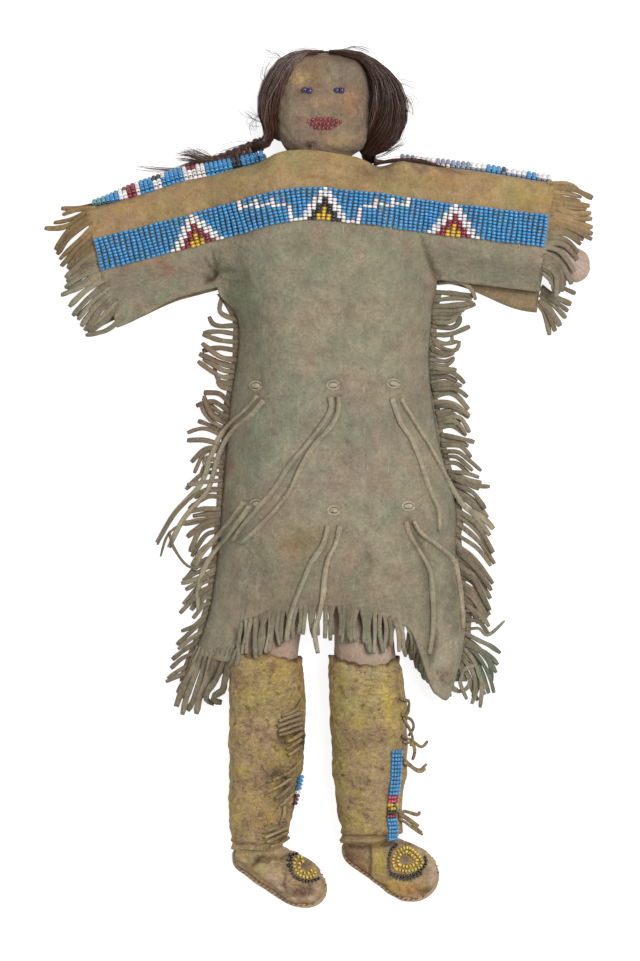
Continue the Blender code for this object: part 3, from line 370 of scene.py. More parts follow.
def mesh_piece(name, points, faces, looks, colours=None):
    """A piece from points in millimetres and arrays of faces. It rides on the doll's one body."""
    mesh = bpy.data.meshes.new(name)
    points = np.asarray(points, float).reshape(-1, 3)
    mesh.vertices.add(len(points))
    mesh.vertices.foreach_set("co", (points * MM).ravel())
    sizes = np.concatenate([np.full(len(f), f.shape[1]) for f in faces])
    mesh.loops.add(int(sizes.sum()))
    mesh.loops.foreach_set("vertex_index", np.concatenate([f.ravel() for f in faces]))
    mesh.polygons.add(len(sizes))
    mesh.polygons.foreach_set("loop_start", np.concatenate([[0], np.cumsum(sizes)[:-1]]))
    mesh.update(calc_edges=True)
    mesh.shade_smooth()
    if colours is not None:
        paint = mesh.color_attributes.new("paint", "FLOAT_COLOR", "POINT")
        paint.data.foreach_set("color", np.column_stack([colours, np.ones(len(points))]).ravel())
    piece = bpy.data.objects.new(name, mesh)
    bpy.context.scene.collection.objects.link(piece)
    mesh.materials.append(looks)
    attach(piece, "root")
    return piece


def quads(index):
    """The faces over a grid of point numbers."""
    return np.stack([index[:-1, :-1], index[1:, :-1], index[1:, 1:], index[:-1, 1:]], -1).reshape(-1, 4)


def number_grid(rows, columns, start=0):
    return start + np.arange(rows * columns).reshape(rows, columns)


def round_grid(rows, columns, start=0):
    """A grid whose last column joins its first."""
    index = number_grid(rows, columns, start)
    return np.concatenate([index, index[:, :1]], axis=1)


def tubes(paths, up, wide, thick, section):
    """Points and faces of many tubes. paths is tube, point, xyz; wide and thick match its first two axes."""
    count, length, _ = paths.shape
    tangent = unit(np.gradient(paths, axis=1))
    across = unit(np.cross(tangent, np.broadcast_to(up, paths.shape)))
    lift = np.cross(across, tangent)
    section = np.array(section, float)
    sides = len(section)
    wide, thick = (np.broadcast_to(size, (count, length))[:, :, None, None] for size in (wide, thick))
    points = paths[:, :, None] + across[:, :, None] * section[:, :1] * wide
    points = points + lift[:, :, None] * section[:, 1:] * thick
    ring = np.arange(count * length * sides).reshape(count, length, sides)
    after = np.roll(ring, -1, axis=2)
    sheet = np.stack([ring[:, :-1], ring[:, 1:], after[:, 1:], after[:, :-1]], -1).reshape(-1, 4)
    return points.reshape(-1, 3), [sheet, ring[:, 0], ring[:, -1, ::-1]]


def regular(sides):
    """The corners of an even outline, 1 across."""
    angles = np.linspace(0, 2 * math.pi, sides, endpoint=False)
    return [(0.5 * math.cos(a), 0.5 * math.sin(a)) for a in angles]


RIBBON = ((0.5, -0.22), (0.5, 0.22), (0.38, 0.5), (-0.38, 0.5),
          (-0.5, 0.22), (-0.5, -0.22), (-0.38, -0.5), (0.38, -0.5))
ROUND = regular(8)
THREAD = regular(3)


def joined(parts):
    """Points and faces of several meshes as one."""
    points, faces, start = [], [], 0
    for some, some_faces in parts:
        points.append(np.asarray(some).reshape(-1, 3))
        faces += [f + start for f in some_faces]
        start += len(points[-1])
    return np.concatenate(points), faces


def closed_loft(rings):
    """Points and faces of a closed skin over rings: an array of ring, point, xyz."""
    rows, columns, _ = rings.shape
    points = np.concatenate([rings.reshape(-1, 3), rings[:1].mean(axis=1), rings[-1:].mean(axis=1)])
    index = round_grid(rows, columns)
    first, last = rows * columns, rows * columns + 1
    low = np.stack([np.full(columns, first), index[0, 1:], index[0, :-1]], -1)
    high = np.stack([np.full(columns, last), index[-1, :-1], index[-1, 1:]], -1)
    return points, [quads(index)[:, ::-1], low[:, ::-1], high[:, ::-1]]


def ovals(centres, across, up, wide, deep, count, power=2.0):
    """Rings round centres: ellipses, or boxier ones with a higher power."""
    angle = 2 * math.pi * (np.arange(count) + 0.5) / count
    c, s = np.cos(angle), np.sin(angle)
    c, s = np.sign(c) * np.abs(c) ** (2 / power), np.sign(s) * np.abs(s) ** (2 / power)
    wide, deep = np.asarray(wide)[:, None, None], np.asarray(deep)[:, None, None]
    return centres[:, None] + across[:, None] * c[:, None] * wide + up[:, None] * s[:, None] * deep


def limb(stations, rows, columns, side=(1, 0, 0), ends=0.0):
    """Rings along a limb of x, y, z, half width and half depth stations, rounded at its ends."""
    line = route_through(stations, rows)
    centres = line[:, :3]
    ahead = unit(np.gradient(centres, axis=0))
    if side is None:
        across = unit(np.cross(ahead, (0, 0, 1.0)))
    else:
        across = unit(np.array(side) - ahead * (ahead @ np.array(side))[:, None])
    up = np.cross(ahead, across)
    sizes = line[:, 3:]
    if ends:
        along = np.linspace(0, 1, rows) * np.linalg.norm(np.diff(centres, axis=0), axis=1).sum()
        for away in (along, along[-1] - along):
            t = np.clip(away / ends, 0, 1)
            sizes = sizes * np.sqrt(np.maximum(1 - (1 - t) ** 2, 0.02))[:, None]
    return ovals(centres, across, up, sizes[:, 0], sizes[:, 1], columns, LIMB_POWER)


def fused(parts, voxel, rounds=2):
    """Points and quads of the skin round several closed meshes that overlap."""
    points, faces = joined(parts)
    mesh = bpy.data.meshes.new("fused")
    mesh.from_pydata((points * MM).tolist(), [], [face for some in faces for face in some.tolist()])
    helper = bpy.data.objects.new("fused", mesh)
    bpy.context.scene.collection.objects.link(helper)
    remesh = helper.modifiers.new("skin", "REMESH")
    remesh.mode = "VOXEL"
    remesh.voxel_size = voxel * MM
    ease = helper.modifiers.new("ease", "SMOOTH")
    ease.iterations = rounds
    evaluated = helper.evaluated_get(bpy.context.evaluated_depsgraph_get())
    skin = evaluated.to_mesh()
    found = np.empty(len(skin.vertices) * 3)
    skin.vertices.foreach_get("co", found)
    normals = np.empty(len(skin.vertices) * 3)
    skin.vertices.foreach_get("normal", normals)
    corners = np.array([tuple(face.vertices) for face in skin.polygons])
    evaluated.to_mesh_clear()
    bpy.data.objects.remove(helper, do_unlink=True)
    return found.reshape(-1, 3) / MM, normals.reshape(-1, 3), [corners]


def thicken(piece, thickness):
    solid = piece.modifiers.new("thickness", "SOLIDIFY")
    solid.thickness = thickness * MM
    solid.offset = -1


def sheet_area(points, faces):
    """The area of quads, in square metres."""
    a, b, c, d = (points[faces[:, k]] for k in range(4))
    double = np.linalg.norm(np.cross(b - a, c - a), axis=1) + np.linalg.norm(np.cross(c - a, d - a), axis=1)
    return float(double.sum() / 2) * MM * MM


# Colour


def rgb(red, green, blue):
    """A linear colour from screen values up to 255."""
    return np.array([((value / 255 + 0.055) / 1.055) ** 2.4 for value in (red, green, blue)])


def painted(points, base, spots=(), seed=0, wander=3.0, strokes=()):
    """Colours for points: a base colour, or one for each, with soft-edged spots and strokes over it.

    A spot is the pixels of its middle, its half width and half height in pixels, a colour and a strength.
    A stroke is its line of pixels, its half width in pixels, a colour and a strength.
    """
    flat = points[:, :2]
    colours = np.broadcast_to(base, (len(points), 3)).copy()
    drift = np.stack([ripple(flat, 12, seed + 50), ripple(flat, 12, seed + 51)], -1) * wander
    for (px, py), (half_x, half_y), colour, strength in spots:
        away = (flat + drift - on_photo(px, py)) / (np.array((half_x, half_y)) * PHOTO_SCALE)
        share = strength * np.exp(-((away**2).sum(axis=1)))
        colours = mix(colours, rgb(*colour), share[:, None])
    for places, half, colour, strength in strokes:
        away, along = near_line(flat + 0.1 * drift, [on_photo(*p) for p in places])
        share = strength * np.exp(-((away / (half * PHOTO_SCALE)) ** 2)) * smooth((1 - along) * 6 + 0.3)
        colours = mix(colours, rgb(*colour), share[:, None])
    return colours


class Look:
    """A node material that is built step by step around one Principled shader."""

    def __init__(self, name, **sockets):
        self.material = bpy.data.materials.new(name)
        self.material.use_nodes = True
        self.tree = self.material.node_tree
        self.shader = self.tree.nodes["Principled BSDF"]
        self.place = self.add("ShaderNodeTexCoord").outputs["Object"]
        for socket, value in sockets.items():
            self.shader.inputs[socket.replace("_", " ")].default_value = value

    def add(self, kind, **settings):
        node = self.tree.nodes.new(kind)
        for setting, value in settings.items():
            setattr(node, setting, value)
        return node

    def put(self, socket, value):
        if isinstance(value, bpy.types.NodeSocket):
            self.tree.links.new(value, socket)
        elif socket.type == "RGBA":
            socket.default_value = (*value, 1)
        else:
            socket.default_value = value

    def noise(self, size, detail=3.0, rough=0.55, stretch=(1, 1, 1), low=0.3, high=0.7, twist=0.0):
        """Noise from 0 to 1 with features about size millimetres across, drawn out by stretch."""
        place = self.add("ShaderNodeMapping")
        self.put(place.inputs["Vector"], self.place)
        place.inputs["Scale"].default_value = [1 / (size * MM * s) for s in stretch]
        noise = self.add("ShaderNodeTexNoise")
        self.put(noise.inputs["Vector"], place.outputs["Vector"])
        values = (("Scale", 1.0), ("Detail", detail), ("Roughness", rough), ("Distortion", twist))
        for socket, value in values:
            noise.inputs[socket].default_value = value
        return self.range(noise.outputs["Fac"], low, high)

    def range(self, value, low, high, to_low=0.0, to_high=1.0):
        node = self.add("ShaderNodeMapRange")
        for socket, given in zip(node.inputs, (value, low, high, to_low, to_high)):
            self.put(socket, given)
        return node.outputs["Result"]

    def mix(self, share, a, b, blend="MIX"):
        node = self.add("ShaderNodeMix", data_type="RGBA", blend_type=blend)
        for socket, value in ((0, share), (6, a), (7, b)):
            self.put(node.inputs[socket], value)
        return node.outputs[2]

    def maths(self, operation, a, b):
        node = self.add("ShaderNodeMath", operation=operation)
        self.put(node.inputs[0], a)
        self.put(node.inputs[1], b)
        return node.outputs["Value"]

    def paint(self):
        return self.add("ShaderNodeAttribute", attribute_name="paint").outputs["Color"]

    def colour(self, value):
        self.put(self.shader.inputs["Base Color"], value)

    def bump(self, height, distance, strength=1.0):
        """Adds a relief of that many millimetres."""
        node = self.add("ShaderNodeBump")
        node.inputs["Strength"].default_value = strength
        node.inputs["Distance"].default_value = distance * MM
        self.put(node.inputs["Height"], height)
        before = self.shader.inputs["Normal"].links
        if before:
            self.put(node.inputs["Normal"], before[0].from_socket)
        self.put(self.shader.inputs["Normal"], node.outputs["Normal"])


def hide_look(name, grain=0.14, mottle=1.0, streaks=0.5, tone=1.0):
    """Soft worn hide: a painted base, clouds of tone and tint, a mottle, a nap, pores and rubbed streaks."""
    look = Look(name, Roughness=0.94, Sheen_Weight=0.06, Sheen_Roughness=0.6, Specular_IOR_Level=0.2)
    base = look.mix(1.0, look.paint(), (tone, tone, tone), "MULTIPLY")
    cloud = look.noise(7, 4, 0.62, low=0.32, high=0.68)
    base = look.mix(0.9 * mottle, base, look.mix(cloud, (0.80, 0.80, 0.79), (1.15, 1.14, 1.12)), "MULTIPLY")
    tint = look.noise(11, 3, 0.6, stretch=(1, 1.4, 1), low=0.36, high=0.64)
    base = look.mix(0.8 * mottle, base, look.mix(tint, (0.93, 1.02, 0.98), (1.08, 0.99, 0.98)), "MULTIPLY")
    dirt = look.noise(5, 5, 0.7, low=0.5, high=0.68)
    dirty = look.mix(1.0, base, (0.74, 0.60, 0.56), "MULTIPLY")
    base = look.mix(look.maths("MULTIPLY", dirt, 0.42 * mottle), base, dirty)
    speckle = look.noise(1.5, 4, 0.75, low=0.3, high=0.7)
    base = look.mix(0.9 * mottle, base, look.mix(speckle, (0.76, 0.75, 0.73), (1.2, 1.2, 1.2)), "MULTIPLY")
    nap = look.noise(0.6, 3, 0.7, low=0.2, high=0.8)
    base = look.mix(0.8, base, look.mix(nap, (0.84, 0.84, 0.83), (1.14, 1.14, 1.14)), "MULTIPLY")
    rubbed = look.noise(1.1, 2, 0.6, stretch=(0.6, 6, 1), low=0.66, high=0.76, twist=0.3)
    base = look.mix(look.maths("MULTIPLY", rubbed, streaks), base, (0.62, 0.57, 0.48), "SCREEN")
    pores = look.noise(0.9, 2, 0.5, low=0.27, high=0.34)
    look.colour(look.mix(1.0, base, look.mix(pores, (0.66, 0.6, 0.54), (1, 1, 1)), "MULTIPLY"))
    look.bump(look.noise(2.6, 4, 0.6), 0.45, 0.8)
    look.bump(speckle, 0.16, 0.7)
    look.bump(nap, grain, 0.9)
    return look.material


DRESS_LOOK = hide_look("dress_hide", streaks=0.26, tone=0.84)
BODY_LOOK = hide_look("body_hide", mottle=0.8, streaks=0.2)
FACE_LOOK = hide_look("face_hide", grain=0.1, mottle=1.0, streaks=0.3, tone=0.86)


def boot_look(name, wear):
    """Hide rubbed with yellow earth paint, worn and dirty. Less wear lets the painted patches show."""
    look = Look(name, Roughness=0.9, Specular_IOR_Level=0.25)
    base = look.paint()
    worn = look.noise(8, 5, 0.65, stretch=(1, 1.3, 1), low=0.48, high=0.72)
    base = look.mix(look.maths("MULTIPLY", worn, 0.7 * wear), base, rgb(200, 176, 76))
    dirt = look.noise(6, 6, 0.72, low=0.46, high=0.7)
    base = look.mix(look.maths("MULTIPLY", dirt, 0.84 * wear), base, rgb(140, 110, 94))
    stain = look.noise(3.4, 5, 0.7, low=0.56, high=0.66)
    base = look.mix(look.maths("MULTIPLY", stain, 0.72 * wear), base, rgb(96, 72, 50))
    speckle = look.noise(1.6, 5, 0.78, low=0.3, high=0.7)
    base = look.mix(0.95, base, look.mix(speckle, (0.70, 0.68, 0.64), (1.2, 1.2, 1.18)), "MULTIPLY")
    rubbed = look.noise(2.4, 5, 0.7, low=0.56, high=0.76)
    base = look.mix(look.maths("MULTIPLY", rubbed, 0.6), base, rgb(206, 188, 156))
    cracks = look.noise(2.2, 3, 0.6, stretch=(2.2, 0.7, 1), low=0.485, high=0.5, twist=0.8)
    closing = look.noise(2.2, 3, 0.6, stretch=(2.2, 0.7, 1), low=0.515, high=0.5, twist=0.8)
    crack = look.maths("MULTIPLY", cracks, closing)
    base = look.mix(look.maths("MULTIPLY", crack, 0.5), base, rgb(74, 56, 42))
    nap = look.noise(0.6, 3, 0.7, low=0.2, high=0.8)
    look.colour(look.mix(0.9, base, look.mix(nap, (0.78, 0.77, 0.75), (1.16, 1.16, 1.15)), "MULTIPLY"))
    look.bump(look.noise(2.4, 5, 0.65), 0.7, 0.8)
    look.bump(look.maths("SUBTRACT", speckle, crack), 0.25, 0.8)
    look.bump(nap, 0.14, 0.9)
    return look.material


def bead_look(name, see_through=0.0):
    """Glass seed beads, each with its own colour."""
    look = Look(name, Roughness=0.17, Coat_Weight=0.35, Coat_Roughness=0.08, Specular_IOR_Level=0.5)
    look.shader.inputs["Transmission Weight"].default_value = see_through
    dust = look.noise(1.6, 3, 0.6, low=0.4, high=0.75)
    look.colour(look.mix(look.maths("MULTIPLY", dust, 0.22), look.paint(), rgb(120, 118, 105)))
    look.put(look.shader.inputs["Roughness"], look.range(dust, 0, 1, 0.14, 0.36))
    look.bump(look.noise(0.9, 2), 0.03, 0.6)
    return look.material


def hair_look():
    look = Look("hair_strands", Roughness=0.42, Specular_IOR_Level=0.5, Coat_Weight=0.08)
    streak = look.noise(1.2, 3, 0.6, low=0.35, high=0.7)
    look.colour(look.mix(look.maths("MULTIPLY", streak, 0.36), look.paint(), rgb(112, 76, 60)))
    look.bump(look.noise(0.3, 2), 0.03, 0.5)
    return look.material


BOOT_LOOK = boot_look("boot_hide", 1.0)
FOOT_LOOK = boot_look("foot_hide", 0.35)
BEAD_LOOK = bead_look("glass_beads")
RED_GLASS_LOOK = bead_look("red_glass", 0.35)
HAIR_LOOK = hair_look()

DRESS_COLOUR = rgb(152, 143, 122)
YOKE_COLOUR = rgb(168, 143, 104)
# Gains on the painted colours under this scene's lights: the leggings and moccasin uppers are painted
# lighter, as painted light that makes up for the lamps' fall-off towards the feet, and the shoulder folds
# darker than the yoke, as painted shade.
FOLD_PAINTED_SHADE = 0.8
BOOT_LEG_PAINTED_LIGHT = 1.36
BOOT_UPPER_PAINTED_LIGHT = 1.5


# The two hides of the dress


def hide_grid(step, below, trim, height):
    """A hide's points and faces: the sleeves and yoke, and the rest below them."""
    parts = ((SLEEVE_LEFT, ARMPIT_LEFT), (ARMPIT_LEFT, ARMPIT_RIGHT), (ARMPIT_RIGHT, SLEEVE_RIGHT))
    counts = [round((b - a) / step) for a, b in parts]
    columns = np.concatenate([np.linspace(a, b, n, endpoint=False) for (a, b), n in zip(parts, counts)])
    columns = np.append(columns, SLEEVE_RIGHT)[:, None]
    top, run = yoke_edge(columns) - trim, shoulder_run(columns)
    rows = round(40 / step)
    reach = below(columns)
    low = -reach + (top - run + reach) * np.linspace(0, 1, rows, endpoint=False)
    arc = top - run * (1 - np.cos(np.radians(np.linspace(90, 0, 12))))
    v = np.concatenate([low, arc], axis=1)
    x, y = off_line(np.broadcast_to(columns, v.shape), v)
    upper = np.stack([x, y, height(x, y, columns, v)], -1)
    first, last = counts[0], counts[0] + counts[1]
    top_row = upper[first : last + 1, 0]
    w = np.linspace(0, 1, last - first + 1)
    hem_x = top_row[:, 0].copy()
    for _ in range(8):
        y_end = hem_y(hem_x)
        hem_x = mix(side_x(y_end, True), side_x(y_end, False), w)
    t = np.linspace(0, 1, round(132 / step))[1:, None]
    y = mix(top_row[:, 1], hem_y(hem_x), t)
    x = mix(top_row[:, 0], mix(side_x(y, True), side_x(y, False), w), smooth(t / 0.06))
    torso = np.stack([x, y, height(x, y, None, None)], -1)
    upper_index = number_grid(*v.shape)
    torso_index = np.vstack([upper_index[first : last + 1, 0], number_grid(*x.shape, start=upper_index.size)])
    points = np.concatenate([upper.reshape(-1, 3), torso.reshape(-1, 3)])
    return points, np.concatenate([quads(upper_index), quads(torso_index)])


def front_height(x, y, foot, v):
    if foot is None:
        plain = dress_height(x, y)
    else:
        plain = mix(torso_height(x, y), upper_height(foot, v), smooth((v + 34) / 12))
    return plain + relief(np.stack([x, y], -1))


# Spots on the front hide. The dark ones at the armpits, at (213, 278) and (436, 290), and along the lower
# right fold at (418, 600), are painted shade.
DRESS_SPOTS = (
    ((132, 274), (26, 8), (150, 112, 96), 0.7), ((160, 264), (14, 6), (168, 116, 92), 0.6),
    ((118, 288), (16, 8), (146, 124, 108), 0.4), ((150, 290), (22, 6), (136, 142, 118), 0.6),
    ((300, 262), (60, 26), (134, 138, 116), 0.5), ((244, 300), (16, 24), (118, 130, 100), 0.6),
    ((262, 320), (26, 50), (134, 136, 116), 0.45), ((386, 300), (40, 60), (140, 138, 116), 0.45),
    ((290, 400), (30, 40), (128, 136, 116), 0.6), ((262, 450), (18, 40), (126, 138, 120), 0.5),
    ((352, 420), (30, 40), (126, 128, 110), 0.5), ((372, 460), (30, 50), (142, 132, 118), 0.5),
    ((320, 480), (40, 40), (154, 142, 126), 0.5), ((300, 545), (26, 20), (140, 116, 80), 0.65),
    ((280, 580), (26, 24), (132, 118, 94), 0.5), ((345, 436), (6, 4), (92, 82, 68), 0.6),
    ((370, 560), (6, 9), (96, 84, 72), 0.6), ((346, 560), (16, 12), (148, 126, 112), 0.5),
    ((352, 380), (60, 30), (150, 138, 120), 0.4), ((420, 400), (14, 16), (122, 112, 96), 0.5),
    ((396, 590), (30, 24), (156, 150, 128), 0.5), ((418, 600), (12, 50), (126, 118, 100), 0.5),
    ((450, 600), (10, 40), (122, 120, 102), 0.5), ((450, 650), (14, 22), (176, 168, 146), 0.75),
    ((446, 686), (10, 8), (164, 142, 126), 0.6), ((448, 520), (10, 30), (124, 128, 110), 0.6),
    ((300, 600), (60, 14), (142, 128, 106), 0.45), ((330, 600), (76, 26), (124, 114, 96), 0.5),
    ((224, 620), (16, 40), (162, 154, 132), 0.6), ((222, 470), (7, 60), (150, 124, 104), 0.6),
    ((213, 278), (6, 4), (80, 60, 44), 0.75), ((436, 290), (8, 20), (112, 102, 84), 0.45),
    ((282, 256), (10, 8), (126, 110, 92), 0.45), ((400, 250), (12, 10), (128, 112, 94), 0.5),
    ((330, 240), (120, 10), (146, 136, 114), 0.4), ((460, 250), (16, 14), (150, 142, 124), 0.4),
    ((520, 262), (26, 16), (146, 136, 118), 0.5), ((540, 275), (10, 12), (146, 122, 104), 0.4),
)
# The colour of painted shade along creases.
CREASE_SHADE = (82, 70, 52)
# Strokes on the front hide: the dark ones are painted shade along its creases and folds, most of all at the
# armpits and down the lower right; the pale ones are rubbed scratches, and the last is a green stain.
DRESS_STROKES = (
    (((214.5, 276), (214.5, 262), (214, 250)), 1.3, CREASE_SHADE, 0.7),
    (((216, 272), (224, 270), (236, 271)), 1.3, CREASE_SHADE, 0.6),
    (((214, 273), (209, 266), (204, 258)), 1.3, CREASE_SHADE, 0.6),
    (((216, 272), (219, 260), (221, 250)), 1.2, CREASE_SHADE, 0.4),
    (((217, 275), (226, 279), (240, 282)), 1.2, CREASE_SHADE, 0.4),
    (((216, 274), (213, 278), (205, 283)), 2.0, (64, 46, 32), 0.8),
    (((438, 279), (431, 268), (425, 250), (421, 236)), 1.6, CREASE_SHADE, 0.7),
    (((438, 279), (436, 300), (436, 330)), 2.6, (108, 98, 80), 0.5),
    (((408, 520), (424, 560), (431, 600), (431, 640), (429, 664)), 4.6, (98, 88, 70), 0.6),
    (((452, 560), (455, 600), (456, 640)), 4.0, (110, 102, 84), 0.5),
    (((440, 672), (448, 676), (456, 673)), 1.4, (120, 100, 86), 0.6),
    (((441, 681), (448, 684), (455, 681)), 1.4, (112, 92, 78), 0.6),
    (((437, 634), (433, 650), (430, 668)), 2.0, CREASE_SHADE, 0.5),
    (((234, 628), (235, 634), (234, 644)), 1.8, CREASE_SHADE, 0.6),
    (((243, 624), (240, 631), (237, 640)), 1.8, CREASE_SHADE, 0.6),
    (((246, 628), (244, 636), (242, 646)), 1.6, CREASE_SHADE, 0.4),
    (((363, 480), (364, 490), (363, 500)), 1.6, (176, 168, 150), 0.5),
    (((258, 578), (257, 588), (259, 600)), 1.6, (178, 168, 148), 0.5),
    (((289, 430), (288, 444), (286, 454)), 1.8, (170, 164, 144), 0.5),
    (((282, 490), (280, 500), (281, 510)), 1.6, (168, 160, 142), 0.4),
    (((478, 246), (484, 254), (490, 262)), 1.8, (178, 170, 150), 0.5),
    (((515, 244), (518, 256), (520, 268)), 1.6, (172, 162, 142), 0.45),
    (((296, 400), (290, 420), (284, 440)), 3.0, (122, 136, 112), 0.4),
)
# Spots on the yoke. The dark one at (376, 172) is a painted shadow in the notch beside the neck.
YOKE_SPOTS = (
    ((120, 220), (14, 8), (168, 128, 110), 0.5), ((138, 208), (26, 6), (180, 152, 84), 0.55),
    ((175, 205), (26, 8), (166, 134, 98), 0.5), ((230, 178), (26, 8), (172, 146, 92), 0.5),
    ((262, 168), (16, 8), (146, 132, 78), 0.5), ((290, 160), (24, 8), (150, 136, 90), 0.5),
    ((330, 166), (34, 8), (168, 142, 100), 0.5), ((352, 160), (14, 7), (156, 144, 76), 0.5),
    ((376, 172), (13, 9), (104, 86, 64), 0.7), ((386, 186), (22, 6), (148, 122, 84), 0.5),
    ((440, 180), (26, 8), (182, 148, 92), 0.5), ((430, 166), (40, 4), (132, 96, 80), 0.75),
    ((478, 190), (26, 10), (176, 148, 114), 0.5), ((530, 196), (24, 12), (178, 152, 82), 0.6),
    ((552, 200), (6, 16), (158, 124, 92), 0.5), ((100, 236), (8, 26), (152, 118, 86), 0.6),
)
# The stroke from (300, 178) to (352, 179) is painted shade along a crease in the yoke.
YOKE_STROKES = (
    (((372, 165), (400, 160), (440, 166), (470, 178)), 1.6, (96, 64, 52), 0.6),
    (((300, 178), (330, 182), (352, 179)), 1.6, (126, 104, 66), 0.5),
    (((410, 186), (434, 190), (460, 192)), 1.4, (138, 112, 76), 0.4),
)


# Each pair of ties is knotted through the front hide: the pixels where its stitch shows
STITCHES = ((256, 386), (333, 386), (393, 384), (257, 504), (334, 510), (408, 506))
# A small dark spot round and under each raised stitch is painted shade.
STITCH_SHADE_SPOTS = tuple(((px, py), (5.5, 4.0), (70, 58, 42), 0.75) for px, py in STITCHES)


def dress_colours(points):
    """The painted yoke and sleeve tops over the plain hide below the bead lane."""
    _, v = line_place(points[:, 0], points[:, 1])
    yoke = smooth((v + 1 + 0.8 * ripple(points[:, :2], 8, 20)) / 4)[:, None]
    # The spots and strokes include painted shade along creases and at the armpits.
    low = painted(points, DRESS_COLOUR, DRESS_SPOTS, 1, strokes=DRESS_STROKES)
    # Painted shade under the stitches.
    low = painted(points, low, STITCH_SHADE_SPOTS, 3, wander=0.2)
    # The yoke's spots and strokes include a painted shadow by the neck and painted shade along a crease.
    high = painted(points, YOKE_COLOUR, YOKE_SPOTS, 2, strokes=YOKE_STROKES)
    return mix(low, high, yoke)


def make_dress_front():
    points, faces = hide_grid(FRONT_STEP, sleeve_low, 0.0, front_height)
    front = mesh_piece("front_hide", points, [faces], DRESS_LOOK, dress_colours(points))
    thicken(front, HIDE)
    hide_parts("dress_front")
    return front, sheet_area(points, faces)


def make_dress_back():
    def height(x, y, foot, v):
        return HIDE + 0.12 + 0.1 * ripple(np.stack([x, y], -1), 14, 8)

    points, faces = hide_grid(BACK_STEP, back_sleeve_low, 0.5, height)
    colours = painted(points, rgb(146, 126, 98), seed=7)
    back = mesh_piece("back_hide", points, [faces], DRESS_LOOK, colours)
    thicken(back, HIDE)
    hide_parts("dress_back")
    return back, sheet_area(points, faces)


# Fringes. Each strand is a line through pixels of the photograph, from its root to its tip
SLEEVE_STRANDS_LEFT = (
    ((94.3, 203.3), (79.5, 206.3), (59.7, 206.8)), ((90.3, 208.8), (76.5, 209.3), (62.2, 213.7)),
    ((82.4, 216.7), (70.6, 225), (56.7, 228), (44.4, 227.4)),
    ((86.4, 219.6), (67.6, 232.5), (55.3, 249.3)), ((88.4, 223.6), (71.6, 235.5), (57.2, 253.7)),
    ((92.3, 229.5), (76.5, 243.4), (59.7, 258.7)), ((93.3, 234.5), (78.5, 248.3), (61.2, 265.6)),
    ((94.3, 241.4), (79.5, 253.2), (68.1, 268)), ((94.3, 248.3), (81.4, 256.2), (69.6, 270)),
    ((95.3, 253.2), (82.4, 262.1), (65.6, 277.4)), ((98.2, 263.1), (82.4, 268), (67.6, 276)),
    ((99.2, 269), (79.5, 278), (65.1, 287.3)), ((100.2, 275), (84.4, 285.8), (61.2, 294.7)),
    ((102.2, 281), (86.4, 290.8), (69.1, 306)), ((104.2, 286.8), (90.3, 296.7), (72.5, 315)),
    ((105.2, 289.8), (93.3, 300.7), (77.5, 319)), ((108.1, 294.7), (94.3, 306.6), (80.5, 325.4)),
    ((110.1, 300.7), (99.2, 311.5), (83.4, 329.3)), ((113, 306.6), (104.2, 320.4), (86.4, 330.3)),
    ((120, 317.5), (106.1, 329.3), (84.4, 334.3)),
)
SLEEVE_STRANDS_RIGHT = (
    ((552, 184.2), (568.3, 183.7), (578, 189)), ((555.3, 188), (571.6, 189), (592.7, 197.7)),
    ((555.3, 192.3), (570.5, 194.5), (581.3, 196.7)), ((555.3, 196.7), (568.3, 200), (580.2, 201)),
    ((554.2, 202), (572.6, 204.2), (589.4, 205.3)), ((554.2, 207.5), (570.5, 213), (591, 213)),
    ((552, 213), (570.5, 218.3), (592, 218.3)), ((551, 215.6), (571.6, 221.6), (592.7, 227)),
    ((551, 220.5), (571.6, 224.8), (592.7, 233.5)), ((551, 223.7), (571.6, 229), (592, 239)),
    ((550, 228), (568.3, 232.4), (583.5, 239)), ((550, 233.5), (567.2, 234.6), (580.8, 243.8)),
    ((548.8, 237.8), (565, 240), (578, 252.4)), ((547.7, 244.3), (563, 244.3), (577.5, 259.5)),
    ((546.7, 247.6), (560.7, 253), (574.3, 272)), ((545.6, 255), (560.7, 263.8), (571.6, 283.3)),
    ((545.6, 258.4), (559.7, 269.2), (562.4, 290.9)), ((546.7, 268), (555.3, 275.7), (556.4, 297.4)),
    ((545.6, 274.6), (553.2, 284.4), (555.9, 297.4)),
)
SLEEVE_STRANDS_BACK = (
    ((542.3, 285.5), (554, 294.2), (573, 303)), ((541.2, 293), (553, 301.6), (568, 316.9)),
    ((541.2, 298.4), (551.9, 309.2), (562, 325)), ((539, 301.7), (546.7, 312.5), (551.4, 334)),
    ((552, 280), (563, 286), (577, 292)), ((540, 300), (549, 311), (557, 330)),
    ((543, 290), (555, 299), (570, 310)), ((117, 313.5), (96.3, 323.4), (86, 329)),
    ((98, 240), (84, 250), (66, 262)), ((99, 262), (84, 272), (66, 284)),
    ((102, 290), (90, 302), (76, 316)),
)
